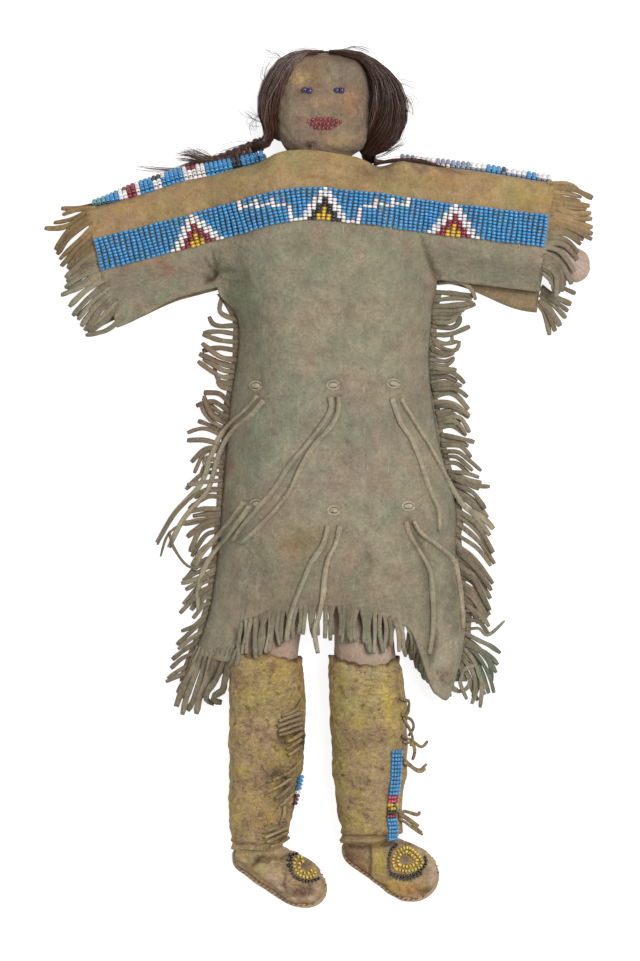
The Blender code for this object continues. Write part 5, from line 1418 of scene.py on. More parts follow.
def make_body():
    z = HIDE + 0.4 + TORSO_DEEP
    torso = ((NECK_X, 125.2, z, 11, 8), (1.2, 119, z, 21, 11.6), (1, 100, z, 23, 12.9),
             (1, 60, z, 22.5, 13.2), (0.5, 20, z, 23.5, 13), (0, -20, z, 26, 12.6),
             (0, -42, z, 24.5, 11.6), (0, -50, z, 17, 9))
    parts = [closed_loft(limb(torso, 60, 32))]
    for arm in (ARM_LEFT, ARM_RIGHT):
        stations = [(*place, ARM_WIDE, ARM_DEEP) for place in arm]
        parts.append(closed_loft(limb(stations, 40, 24, side=(0, 1, 0), ends=7)))
    for leg in (LEG_LEFT, LEG_RIGHT):
        parts.append(closed_loft(limb(leg, 50, 32)))
    points, normals, faces = fused(parts, BODY_VOXEL, 3)
    points = points + normals * (0.28 * ripple(points, 6, 80) + 0.12 * ripple(points, 2.6, 81))[:, None]
    spots = (((300, 655), (40, 12), (150, 128, 112), 0.5), ((575, 262), (12, 20), (176, 160, 158), 0.6))
    colours = painted(points, rgb(172, 150, 134), spots, 82)
    body = mesh_piece("stuffed_body", points, faces, BODY_LOOK, colours)
    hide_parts("body")


def head_rings(rows, columns):
    line = route_through([(y, wide, deep) for y, wide, deep in HEAD_PROFILE], rows)
    centres = np.column_stack([np.full(rows, HEAD_X), line[:, 0], np.full(rows, HEAD_Z)])
    across, up = (np.broadcast_to(way, centres.shape) for way in ((1.0, 0, 0), (0, 0, 1.0)))
    return ovals(centres, across, up, line[:, 1], line[:, 2], columns, HEAD_POWER)


FACE_FOLDS = (
    (-0.5, 0.7, ((298, 70), (303, 78), (304, 86))), (-0.45, 0.6, ((302, 68), (307, 74), (312, 78))),
    (-0.4, 0.6, ((296, 84), (303, 86), (309, 84))), (0.4, 1.2, ((296, 76), (300, 82), (306, 84))),
    (-0.3, 0.8, ((286, 108), (296, 112), (304, 118))), (-0.35, 0.9, ((352, 96), (358, 106), (360, 118))),
    (0.5, 3.4, ((322, 98), (321, 108), (320, 114))), (-0.3, 1.0, ((296, 134), (304, 138), (314, 139))),
    (0.4, 3.0, ((290, 120), (294, 130), (300, 138))), (-0.3, 0.9, ((346, 134), (352, 128), (357, 120))),
    (-1.4, 1.0, ((308, 148), (311, 147), (314, 148))),
)
FACE_SPOTS = (
    ((303, 80), (13, 9), (180, 156, 104), 0.75), ((298, 72), (8, 8), (176, 142, 112), 0.6),
    ((324, 78), (10, 8), (146, 136, 96), 0.45), ((350, 106), (9, 15), (178, 126, 92), 0.6),
    ((344, 140), (16, 8), (172, 148, 108), 0.6), ((336, 146), (7, 4), (186, 156, 112), 0.5),
    ((344, 72), (22, 12), (136, 122, 106), 0.6), ((356, 84), (8, 8), (128, 118, 104), 0.5),
    ((317, 106), (9, 6), (170, 142, 106), 0.6), ((288, 118), (10, 20), (150, 138, 112), 0.5),
    ((302, 136), (12, 6), (124, 116, 98), 0.5), ((328, 60), (36, 4), (112, 92, 76), 0.5),
    ((311, 148), (5, 2.6), (44, 32, 26), 0.95), ((328, 76), (3, 3), (104, 92, 74), 0.6),
    ((327, 95), (2, 2), (96, 82, 66), 0.6), ((326, 112), (6, 3), (118, 100, 80), 0.5),
    ((322, 138), (2, 3), (104, 88, 70), 0.5),
)


def face_height(x, y):
    wide = curve_through([(p[0], p[1]) for p in HEAD_PROFILE], y)
    deep = curve_through([(p[0], p[2]) for p in HEAD_PROFILE], y)
    r = np.minimum(np.abs(x - HEAD_X) / wide, 0.98)
    return HEAD_Z + deep * (1 - r**HEAD_POWER) ** (1 / HEAD_POWER)


def make_head():
    points, normals, faces = fused([closed_loft(head_rings(60, 48))], HEAD_VOXEL, 3)
    rise = 0.25 * ripple(points, 9, 90) + 0.14 * ripple(points, 3.2, 91)
    front = smooth((points[:, 2] - HEAD_Z) / 8)
    for depth, half, places in FACE_FOLDS:
        away, _ = near_line(points[:, :2], [on_photo(*p) for p in places])
        rise += front * depth * np.exp(-((away / half) ** 2))
    points = points + normals * rise[:, None]
    colours = painted(points, rgb(140, 119, 101), FACE_SPOTS, 92, wander=0.8)
    head = mesh_piece("stuffed_head", points, faces, FACE_LOOK, colours)
    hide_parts("head")


# Locks of hair as x, y, z, half width and half depth
LOCK_LEFT = (
    (-1, 173.6, 24, 0.7, 2), (-7, 173.0, 25, 1.1, 4), (-12.0, 169.9, 24.5, 2.9, 5.5),
    (-15.4, 165.7, 22.5, 4.0, 7.5), (-18.7, 159, 20, 4.7, 9), (-20.9, 151.7, 17.5, 4.1, 9.4),
    (-20.9, 147, 15.4, 3.0, 8.6), (-20.5, 141.7, 12.4, 2.1, 6), (-22.6, 138.0, 9.0, 2.2, 3.4),
    (-27, 136.3, 7, 2.0, 2.6),
)
LOCK_RIGHT = (
    (4, 173.6, 24, 0.7, 2), (10, 173.4, 25, 1.0, 4), (16.4, 172.0, 25, 1.4, 5), (23, 166.5, 22.5, 2.9, 8),
    (27.5, 156.8, 19, 5.8, 11), (27.3, 147, 16.5, 7.0, 11), (25, 141, 14.5, 6.6, 9),
    (21.1, 136, 12.4, 4.2, 5.6), (19.0, 132.4, 10.4, 2.4, 3), (20.8, 129.6, 9.6, 1.3, 1.6),
)
BRAID = ((-24, 137.6, 8), (-30, 135.4, 6.0), (-36, 133.2, 4.8), (-42, 131.4, 3.8), (-46.5, 130.4, 3.4))
TAIL_RIGHT = (
    (20, 131, 9.6), (25, 130.0, 9.0), (32, 130.6, 9.0), (42, 129.4, 8.6), (52, 127.4, 8.2),
    (61, 124.4, 8.6),
)
HAIR_WIDE = 0.3
LOOSE_WIDE = 0.15
LOCK_HAIRS = 1250
CROWN_HAIRS = 650
BRAID_HAIRS = 520
# The share of a lock's wisps that lie near its upper skin
UPPER_WISPS = 0.75


def strand_tones(dice, count, points, dark):
    tone = dark * dice.uniform(0.35, 1.5, (count, 1)) ** 1.5
    red = dice.uniform(0, 1, (count, 1)) ** 1.6
    colours = mix(rgb(60, 44, 38), rgb(100, 66, 52), red) * tone
    colours = np.where(dice.random((count, 1)) < 0.02, rgb(150, 134, 126), colours)
    return np.repeat(np.clip(colours, 0, 1), points, axis=0)


def hair_piece(name, paths, seed, wide=HAIR_WIDE, dark=1.0):
    dice = np.random.default_rng(seed)
    count, length, _ = paths.shape
    taper = 1 - 0.6 * smooth((np.linspace(0, 1, length) - 0.75) / 0.25)
    widths = wide * dice.uniform(0.7, 1.3, (count, 1)) * taper
    points, faces = tubes(paths, (0.1, 0.2, 1.0), widths, widths, THREAD)
    mesh_piece(name, points, faces, HAIR_LOOK, strand_tones(dice, count, length * len(THREAD), dark))


def lock_paths(lock, count, seed, length=12):
    """Strands along a lock, most of them near its upper skin, gathered in wandering wisps."""
    dice = np.random.default_rng(seed)
    line = route_through(lock, length)
    centres, sizes = line[:, :3], line[:, 3:]
    ahead = unit(np.gradient(centres, axis=0))
    across = unit(np.cross(ahead, (0, 0, 1.0)))
    up = np.cross(across, ahead)
    wisps = 46
    t = np.linspace(0, 1, length)
    near_skin = dice.random(wisps) < UPPER_WISPS
    above, anywhere = dice.uniform(-0.3, math.pi + 0.3, wisps), dice.uniform(0, 2 * math.pi, wisps)
    heads = np.where(near_skin, above, anywhere)
    turns = dice.normal(0, 0.3, (wisps, 1)) * np.sin(math.pi * t * dice.uniform(0.6, 2.2, (wisps, 1)))
    depth = dice.uniform(0.78, 1.06, (wisps, 1)) * (1 + 0.06 * np.sin(7 * t + dice.uniform(0, 6, (wisps, 1))))
    pick = dice.integers(wisps, size=count)
    swing = heads[pick, None] + turns[pick] + dice.normal(0, 0.11, (count, 1))
    swing = swing + dice.normal(0, 0.08, (count, 1)) * np.sin(math.pi * t * dice.uniform(1, 4, (count, 1)))
    stray = np.where(dice.random((count, 1)) < 0.06, dice.uniform(0.05, 0.3, (count, 1)), 0)
    stray = stray * np.sin(math.pi * t) ** 2
    reach = depth[pick] + dice.normal(0, 0.035, (count, 1)) + stray
    c, s = np.cos(swing) * reach, np.sin(swing) * reach
    return centres + across * (c * sizes[:, 0])[..., None] + up * (s * sizes[:, 1])[..., None]


def crown_paths(count, seed, left, length=12):
    """Strands from the parting over the end of the head and down one side, clear of the face."""
    dice = np.random.default_rng(seed)
    t = np.linspace(0, 1, length) ** 1.3
    level = dice.uniform(-0.8, 0.45 if left else 0.25, (count, 1))
    end_y = dice.uniform(138, 158, (count, 1))
    y = np.array([p[0] for p in HEAD_PROFILE])
    start = dice.uniform(66, 93, (count, 1))
    turn = np.radians(mix(start, 0, smooth(t * 1.6)))
    wide_y = mix(171.5, end_y, np.maximum(t - 0.35, 0) / 0.65)
    wide = curve_through([(p[0], p[1]) for p in HEAD_PROFILE], wide_y)
    deep = curve_through([(p[0], p[2]) for p in HEAD_PROFILE], wide_y)
    narrow = np.sqrt(np.maximum(1 - np.abs(level) ** HEAD_POWER, 0.05)) ** (2 / HEAD_POWER)
    lift = HAIR_THICK * dice.uniform(0.2, 0.8, (count, 1))
    x = HEAD_X + (-1 if left else 1) * (wide * narrow + lift) * np.cos(turn)
    top = max(y) + lift * 0.6
    y_at = np.where(t < 0.35, mix(171.5, top, np.sin(turn)), wide_y)
    z = HEAD_Z + level * (deep + lift) * mix(1, 0.9, t)
    return np.stack([x, y_at, np.broadcast_to(z, x.shape)], -1)


def braid_paths(count, seed, length=20):
    """Three crossing strands of the left braid, each a bundle of hair."""
    dice = np.random.default_rng(seed)
    line = route_through(BRAID, length)
    t = np.linspace(0, 1, length)
    ahead = unit(np.gradient(line, axis=0))
    side = unit(np.cross(ahead, (0, 0, 1.0)))
    up = np.cross(side, ahead)
    bundle = dice.integers(3, size=(count, 1))
    phase = 2 * math.pi * (t * 2.6 + bundle / 3)
    around = dice.uniform(0, 2 * math.pi, (count, 1)) + t * 2
    reach = 1.5 * np.sqrt(dice.uniform(0.2, 1, (count, 1))) * (1 - 0.35 * t)
    sideways = 1.6 * np.sin(phase) * (1 - 0.35 * t) + reach * np.cos(around)
    upwards = 0.8 * np.sin(2 * phase) + reach * np.sin(around)
    return line + side * sideways[..., None] + up * upwards[..., None]


# Loose hair: pixels of a lock's line, its heights at both ends, its spread at both ends, and how many hairs
LOOSE_HAIR = (
    (((214, 160), (200, 162), (186, 167), (168, 174)), (6.0, 5.0), (1.2, 1.5), 130),
    (((200, 164), (186, 167), (165, 168), (131, 164)), (5.0, 4.0), (0.8, 1.1), 26),
    (((212, 158), (200, 157), (188, 152), (174, 151)), (6.4, 6.0), (0.9, 1.8), 60),
    (((210, 159), (198, 160), (186, 158), (172, 157)), (6.0, 5.0), (0.8, 1.5), 30),
    (((210, 156), (200, 152), (192, 150), (188, 146)), (4.4, 5.0), (0.7, 2.0), 24),
    (((250, 143), (238, 146), (228, 150), (214, 152)), (8.0, 5.0), (0.8, 2.0), 20),
    (((240, 150), (228, 156), (216, 158), (204, 164)), (6.0, 4.0), (0.8, 1.6), 24),
    (((266, 122), (256, 120), (248, 114), (242, 110)), (12.0, 10.0), (1.4, 3.0), 9),
    (((262, 112), (256, 116), (252, 122), (258, 130)), (14.0, 10.0), (1.2, 2.6), 8),
    (((268, 84), (263, 78), (266, 68), (274, 60)), (20.0, 18.0), (0.8, 2.2), 6),
    (((282, 62), (276, 58), (270, 58), (262, 50)), (22.0, 20.0), (0.8, 2.0), 5),
    (((372, 156), (386, 150), (402, 142), (420, 129)), (12.0, 9.0), (0.7, 1.6), 9),
    (((374, 158), (386, 154), (396, 148), (409, 143)), (12.0, 9.0), (0.6, 1.4), 9),
    (((404, 96), (410, 100), (412, 108), (408, 116)), (16.0, 13.0), (1.0, 2.2), 12),
    (((398, 84), (406, 86), (414, 90), (416, 84)), (17.0, 15.0), (0.8, 2.0), 6),
    (((342, 53), (354, 50), (368, 54), (382, 63)), (24.0, 21.0), (0.6, 1.3), 9),
    (((318, 53), (304, 52), (290, 56), (276, 64)), (24.0, 22.0), (0.6, 1.2), 8),
    (((386, 120), (398, 116), (408, 118), (414, 122)), (18.0, 14.0), (1.4, 2.4), 8),
    (((374, 164), (392, 160), (424, 162), (470, 178)), (11.0, 14.0), (0.5, 0.8), 70),
)


def loose_paths(seed, length=12):
    dice = np.random.default_rng(seed)
    t = np.linspace(0, 1, length)
    paths = []
    for row, (root, tip), (narrow, wide), count in LOOSE_HAIR:
        flat = route_through([on_photo(*p) for p in row], length)
        for _ in range(count):
            spread = mix(narrow, wide, t)[:, None]
            bow = dice.normal(0, 0.35, 2) * np.sin(math.pi * t)[:, None] * wide
            line = flat + dice.normal(0, 0.6, 2) * spread + bow
            height = mix(root, tip, t) + dice.normal(0, 0.5) * spread[:, 0]
            end = dice.uniform(0.6, 1.0)
            line = np.stack([np.interp(t * end, t, line[:, k]) for k in range(2)], -1)
            paths.append(np.column_stack([line, height]))
    return np.stack(paths)


def hair_cap():
    """The skin of hair round the back and sides of the head, as one closed band."""
    rows, half = 34, 26
    y = np.linspace(172.8, 138, rows)
    high, low = smooth((y - 168) / 5), smooth((152 - y) / 12)
    first, last = 150 - 30 * high + 34 * low, 372 + 48 * high - 16 * low
    angle = np.radians(mix(first[:, None], last[:, None], np.linspace(0, 1, half)))
    at = np.minimum(y, 172.6)
    wide, deep = (curve_through([(p[0], p[k]) for p in HEAD_PROFILE], at)[:, None] for k in (1, 2))
    shrink = np.sqrt(np.clip(1 - ((y - 169.5) / 3.6).clip(0, 1) ** 2, 0.04, 1))[:, None]
    c, s = np.cos(angle), np.sin(angle)
    c, s = np.sign(c) * np.abs(c) ** (2 / HEAD_POWER), np.sign(s) * np.abs(s) ** (2 / HEAD_POWER)
    skins = []
    for grow in (1.2, -0.9):
        x, z = HEAD_X + (wide * shrink + grow) * c, HEAD_Z + (deep * shrink + grow) * s
        skins.append(np.stack([x, np.broadcast_to(y[:, None], c.shape), z], -1))
    return closed_loft(np.concatenate([skins[0], skins[1][:, ::-1]], axis=1))


def thinner(lock, share):
    return [(x, y, z, wide * share, deep * share) for x, y, z, wide, deep in lock]


def make_hair():
    braid = [(*place, 1.3, 1.2) for place in BRAID]
    tail = [(*place, size, size * 1.6) for place, size in zip(TAIL_RIGHT, (1.3, 1.0, 0.8, 0.6, 0.4, 0.25))]
    locks = (thinner(LOCK_LEFT, 0.86), thinner(LOCK_RIGHT, 0.9), braid, tail)
    parts = [hair_cap(), *(closed_loft(limb(lock, 50, 24, side=None)) for lock in locks)]
    points, normals, faces = fused(parts, HAIR_VOXEL, 2)
    points = points + normals * (0.25 * ripple(points, 4, 94))[:, None]
    colours = painted(points, rgb(44, 32, 28), seed=95)
    base = mesh_piece("hair_base", points, faces, HAIR_LOOK, colours)
    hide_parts("hair")
    hair_piece("hair_lock_left", lock_paths(LOCK_LEFT, LOCK_HAIRS, 101), 102)
    hair_piece("hair_lock_right", lock_paths(LOCK_RIGHT, LOCK_HAIRS, 103), 104, dark=0.55)
    crown = np.concatenate([crown_paths(CROWN_HAIRS, 105, True), crown_paths(CROWN_HAIRS, 106, False)])
    hair_piece("hair_crown", crown, 107)
    hair_piece("hair_braid", braid_paths(BRAID_HAIRS, 112), 113)
    hair_piece("hair_loose", loose_paths(108), 109, LOOSE_WIDE)


EYE_Y = 157.4
# Each eye's middle, and how much it tilts down to the right
EYES = {"left": (-5.2, 0.24), "right": (7.9, 0.04)}
MOUTH_X = 1.8
MOUTH_Y = 144.2
# How many beads each column of the mouth has, the columns' pitch, and the beads' width and length
MOUTH_COLUMNS = (1, 2, 3, 3, 3, 3, 3, 2, 1)
MOUTH_PITCH = 1.62
MOUTH_BEAD = (1.34, 1.5)


def make_face_beads():
    for side, (x, tilt) in EYES.items():
        level = float(face_height(x, EYE_Y)) + BEAD_WIDE / 2 - 0.1
        centres = np.array([(x + p, EYE_Y - tilt * p, level) for p in (-0.7 * BEAD_LONG, 0.7 * BEAD_LONG)])
        along, outward = np.tile((1.0, -tilt, 0), (2, 1)), np.tile((0, 0, 1.0), (2, 1))
        colours = [(48, 40, 98)] * 2
        part = string_beads(centres, along, outward, BEAD_WIDE * 1.1, BEAD_LONG * 1.45, colours, 110)
        bead_piece(f"eye_beads_{side}", [part], f"eye_{side}")
    centres, colours, along = [], [], []
    last = len(MOUTH_COLUMNS) - 1
    for i, count in enumerate(MOUTH_COLUMNS):
        share = 2 * i / last - 1
        x = MOUTH_X + share * MOUTH_PITCH * last / 2
        for k in range(count):
            v = (k - (count - 1) / 2) * 1.72 - 0.9 * (1 - share**2)
            at = (x + 0.22 * v, MOUTH_Y + 0.5 - 0.03 * (x - MOUTH_X) + v)
            centres.append((*at, float(face_height(*map(np.float64, at))) + 0.45))
            along.append((0.22, 1.0, 0))
            # Every third bead is a lighter pink, as a painted highlight on the red glass.
            colours.append((150, 28, 52) if (i + k) % 3 else (176, 60, 84))
    outward = np.tile((0, 0, 1.0), (len(centres), 1))
    part = string_beads(np.array(centres), np.array(along), outward, *MOUTH_BEAD, colours, 111)
    bead_piece("mouth_bead_rows", [part], "mouth_beads", RED_GLASS_LOOK)


# Boots


def foot_frame(side):
    axis = unit(FOOT_AXIS[side])
    up = unit(FOOT_UP - axis * (FOOT_UP @ axis))
    return axis, np.cross(axis, up), up


def foot_size(side, share):
    wide = curve_through([(s[0], s[1]) for s in FOOT_STATIONS[side]], share)
    high = curve_through([(s[0], s[2]) for s in FOOT_STATIONS[side]], share)
    toe = np.sqrt(np.clip(1 - np.clip((share - 0.66) / 0.34, 0, 1) ** 2.4, 0.01, 1))
    heel = np.sqrt(1 - 0.84 * np.clip(1 - share / 0.13, 0, 1) ** 2)
    return wide * toe * heel, high * toe**0.8 * heel**0.4


def leg_at(stations, y):
    return [curve_through([(s[1], s[k]) for s in stations], y) for k in (0, 2, 3, 4)]


def legging_point(stations, y, angle, lift=0.0):
    """Points on a legging's outer face, angle 90 degrees being its front."""
    x_at, z_at, wide, deep = leg_at(stations, y)
    c, s = np.cos(angle), np.sin(angle)
    c, s = np.sign(c) * np.abs(c) ** (2 / LIMB_POWER), np.sign(s) * np.abs(s) ** (2 / LIMB_POWER)
    grow = LEG_SLACK + HIDE + lift
    return np.stack([x_at + (wide + grow) * c, y + 0 * c, z_at + (deep + grow) * s], -1)


# Spots on the leggings. The near-black ones on the left at (290, 732), (282, 786) and (277, 833) are painted
# shade under the cut strips.
LEGGING_SPOTS = {
    "left": (((262, 690), (22, 26), (160, 146, 84), 0.6), ((282, 668), (14, 8), (182, 160, 66), 0.6),
             ((240, 668), (12, 12), (150, 118, 90), 0.5), ((300, 690), (6, 40), (158, 112, 66), 0.6),
             ((262, 728), (24, 10), (168, 138, 116), 0.6), ((238, 760), (12, 24), (162, 140, 96), 0.6),
             ((268, 770), (14, 20), (140, 112, 88), 0.5), ((256, 800), (16, 14), (176, 148, 88), 0.6),
             ((268, 820), (12, 16), (138, 98, 62), 0.5), ((236, 820), (8, 20), (176, 158, 98), 0.5),
             ((246, 835), (20, 6), (158, 136, 108), 0.5), ((290, 732), (11, 24), (40, 28, 18), 0.92),
             ((282, 786), (13, 15), (44, 32, 20), 0.85), ((277, 833), (11, 10), (40, 28, 18), 0.92),
             ((287, 815), (5, 16), (96, 76, 54), 0.6)),
    "right": (((344, 686), (12, 10), (178, 164, 72), 0.7), ((390, 700), (10, 16), (190, 164, 66), 0.7),
              ((366, 676), (20, 10), (156, 144, 112), 0.5), ((362, 706), (22, 14), (168, 160, 98), 0.6),
              ((360, 738), (18, 16), (116, 100, 78), 0.6), ((384, 734), (10, 10), (126, 104, 84), 0.6),
              ((352, 770), (16, 20), (158, 138, 98), 0.5), ((338, 760), (5, 50), (176, 160, 86), 0.6),
              ((378, 786), (10, 16), (152, 128, 106), 0.6), ((360, 822), (22, 8), (166, 150, 76), 0.6),
              ((350, 800), (12, 10), (144, 122, 96), 0.5), ((398, 760), (6, 60), (150, 132, 92), 0.5)),
}
# The left stroke is painted shade along the crease pressed into the left legging.
LEGGING_STROKES = {
    "left": (((240, 720), (262, 730), (280, 742)), 1.6, (116, 92, 70), 0.6),
    "right": (((396, 670), (402, 720), (404, 780)), 2.0, (128, 104, 74), 0.5),
}
LEG_STATIONS = {"left": LEG_LEFT, "right": LEG_RIGHT}
LEGGING_TOP = {
    "left": ((236, 661), (255, 654), (275, 657), (300, 661)),
    "right": ((331, 658), (350, 664), (375, 666), (400, 661)),
}
LEGGING_LOW = {"left": -149.0, "right": -145.6}


def make_legging(side, seed):
    """A hide tube round the leg, torn along its top, with fine creases and worn paint."""
    stations = LEG_STATIONS[side]
    rows, columns = 104, 88
    angle = (2 * math.pi * np.arange(columns) / columns)[None]
    edge = [on_photo(*p) for p in LEGGING_TOP[side]]
    around = legging_point(stations, np.full((1, columns), BOOT_TOP_Y), angle)
    top = curve_through(edge, around[..., 0]) * 0.985 + 0.5 * ripple(around, 4, seed + 4)
    t = np.linspace(0, 1, rows)[:, None]
    y = mix(top, LEGGING_LOW[side] + 0.25 * ripple(around, 6, seed + 5), t)
    angle = np.broadcast_to(angle, y.shape)
    points = legging_point(stations, y, angle)
    wave = np.stack([points[..., 0] * 0.3, points[..., 1], points[..., 2] * 0.3], -1)
    front = smooth(np.sin(angle) * 1.6 + 0.2)
    rise = (0.12 + 0.3 * front) * ripple(wave, 9, seed) + (0.12 + 0.22 * front) * ripple(points, 8, seed + 1)
    torn = smooth(1 - t * 14) * ripple(points[..., :2], 8, seed + 3)
    rise = rise + 0.16 * ripple(points, 3, seed + 2) + 0.5 * torn
    if side == "left":
        away, _ = near_line(points[..., :2], [on_photo(*p) for p in ((240, 720), (262, 730), (282, 744))])
        rise = rise - 0.8 * front * np.exp(-((away / 1.2) ** 2))
    outward = np.stack([np.cos(angle), 0 * angle, np.sin(angle)], -1)
    points = points + outward * np.maximum(rise, -0.9)[..., None]
    flat = points.reshape(-1, 3)
    base, strokes = rgb(166, 144, 104), (LEGGING_STROKES[side],)
    # The gain makes the legging's colours lighter, as painted light.
    colours = painted(flat, base, LEGGING_SPOTS[side], seed, strokes=strokes) * BOOT_LEG_PAINTED_LIGHT
    down = np.broadcast_to(t, y.shape).reshape(-1, 1)
    worn = 1 + 0.4 * ripple(flat, 3, seed + 6)[:, None]
    colours = mix(colours, rgb(88, 52, 42), 0.85 * smooth(1.25 - down * 62 * worn))
    colours = mix(colours, rgb(120, 92, 72), 0.5 * smooth((down - 0.975) * 40))
    grid = quads(round_grid(rows, columns))
    piece = mesh_piece(f"boot_leg_{side}", flat, [grid[:, ::-1]], BOOT_LOOK, colours)
    thicken(piece, HIDE)
    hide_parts(f"legging_{side}")
    return piece, sheet_area(flat, grid)


# The left boot's cut strips lie across its front: pixels of each strip, from its seam to its tip
STRIPS_LEFT = (
    ((301, 700), (295, 709), (282, 714)), ((300, 712), (290, 715), (279, 719)),
    ((300, 717), (290, 720), (278, 724)), ((301, 722), (290, 725), (279, 729)),
    ((301, 727), (291, 730), (279, 733)), ((301, 733), (294, 737), (286, 740)),
    ((300, 739), (294, 743), (287, 747)), ((300, 746), (294, 750), (289, 753)),
    ((300, 760), (295, 766), (290, 770)), ((290, 770), (280, 775), (268, 780)),
    ((291, 777), (280, 784), (267, 790)), ((292, 784), (284, 791), (276, 797)),
    ((293, 792), (286, 799), (278, 806)), ((285, 806), (284, 814), (280, 822)),
    ((285, 822), (275, 826), (264, 830)), ((286, 827), (276, 831), (265, 835)),
    ((286, 832), (277, 836), (267, 840)), ((287, 838), (279, 842), (271, 845)),
)
# The right boot's few curled strips hang out from its seam
STRIPS_RIGHT = (
    ((402, 698), (409, 702), (408, 711), (404, 716)), ((403, 714), (411, 720), (414, 728), (409, 737)),
    ((404, 718), (409, 728), (413, 739), (411, 747)), ((404, 736), (413, 742), (422, 748), (428, 742)),
    ((405, 741), (413, 745), (415, 753), (413, 761)), ((404, 757), (411, 766), (420, 771), (427, 765)),
    ((405, 762), (414, 770), (421, 773), (426, 770)), ((400, 811), (408, 813), (418, 816), (420, 813)),
    ((401, 815), (409, 820), (417, 826), (419, 827)), ((401, 819), (409, 826), (417, 832), (423, 836)),
    ((402, 816), (412, 824), (418, 831), (422, 834)),
)


def legging_fringe(side, seed):
    left = side == "left"
    lines = strand_lines(STRIPS_LEFT if left else STRIPS_RIGHT, 12, tuck=0.8)
    t = np.linspace(0, 1, 12)
    over = leg_height(lines[..., 0], lines[..., 1]) + 0.9 + 0.5 * t
    hung = np.maximum(over, mix(10, 7, t)) if not left else over
    return fringe(f"boot_fringe_{side}", lines, hung, seed + 1, legging_colours, wide=1.35, looks=BOOT_LOOK)


def legging_colours(points):
    return painted(points, rgb(176, 156, 122), seed=131)


ANKLE_CREASES = {
    "left": ((252, 866), (258, 860), (266, 861), (272, 855), (281, 858), (290, 852)),
    "right": ((350, 846), (362, 847), (374, 845), (388, 842)),
}
# Spots on the moccasin uppers. The dark ones at (263, 857) and (258, 860) are painted shade in the left ankle
# crease.
UPPER_SPOTS = (
    ((240, 856), (12, 7), (184, 162, 116), 0.8), ((262, 868), (12, 7), (170, 158, 112), 0.8),
    ((276, 876), (10, 6), (192, 162, 140), 0.7), ((254, 882), (12, 5), (176, 140, 104), 0.6),
    ((304, 890), (17, 9), (96, 68, 58), 0.9), ((310, 896), (5, 3), (206, 180, 158), 0.7),
    ((318, 888), (4, 6), (190, 162, 144), 0.7), ((294, 898), (6, 3), (196, 172, 150), 0.7),
    ((286, 850), (13, 5), (176, 150, 132), 0.8), ((290, 864), (7, 7), (112, 98, 78), 0.8),
    ((308, 866), (6, 6), (124, 104, 84), 0.7), ((263, 857), (11, 2.6), (62, 46, 32), 0.75),
    ((258, 860), (3.4, 2.4), (28, 20, 14), 0.95), ((280, 886), (7, 4), (200, 176, 152), 0.6),
    ((352, 856), (13, 9), (112, 82, 66), 0.85), ((362, 870), (8, 8), (150, 104, 66), 0.8),
    ((380, 862), (8, 15), (178, 156, 76), 0.85), ((396, 884), (16, 6), (184, 152, 78), 0.85),
    ((412, 888), (12, 6), (164, 110, 58), 0.8), ((425, 889), (7, 5), (74, 54, 38), 0.85),
    ((390, 845), (8, 5), (98, 78, 70), 0.8), ((410, 844), (14, 5), (112, 86, 78), 0.75),
    ((432, 872), (5, 9), (184, 162, 150), 0.8), ((406, 896), (18, 3), (190, 160, 128), 0.7),
    ((384, 884), (6, 5), (128, 96, 62), 0.7), ((424, 872), (5, 6), (132, 104, 88), 0.7),
    ((404, 858), (9, 6), (112, 90, 80), 0.8), ((303, 865), (5, 4), (104, 84, 70), 0.8),
)
# The ankle crease strokes are painted shade in the creases pressed into the uppers.
UPPER_STROKES = (
    (ANKLE_CREASES["left"], 1.8, (66, 48, 34), 0.75), (ANKLE_CREASES["right"], 1.8, (66, 46, 34), 0.75),
    (((370, 846), (371, 860), (369, 878)), 1.6, (70, 44, 30), 0.85),
    (((232, 858), (250, 868), (270, 884), (290, 896)), 1.4, (108, 78, 60), 0.6),
    (((286, 872), (284, 882), (288, 892)), 1.4, (92, 66, 50), 0.7),
    (((282, 884), (288, 880), (291, 878)), 1.2, (84, 62, 44), 0.5),
)


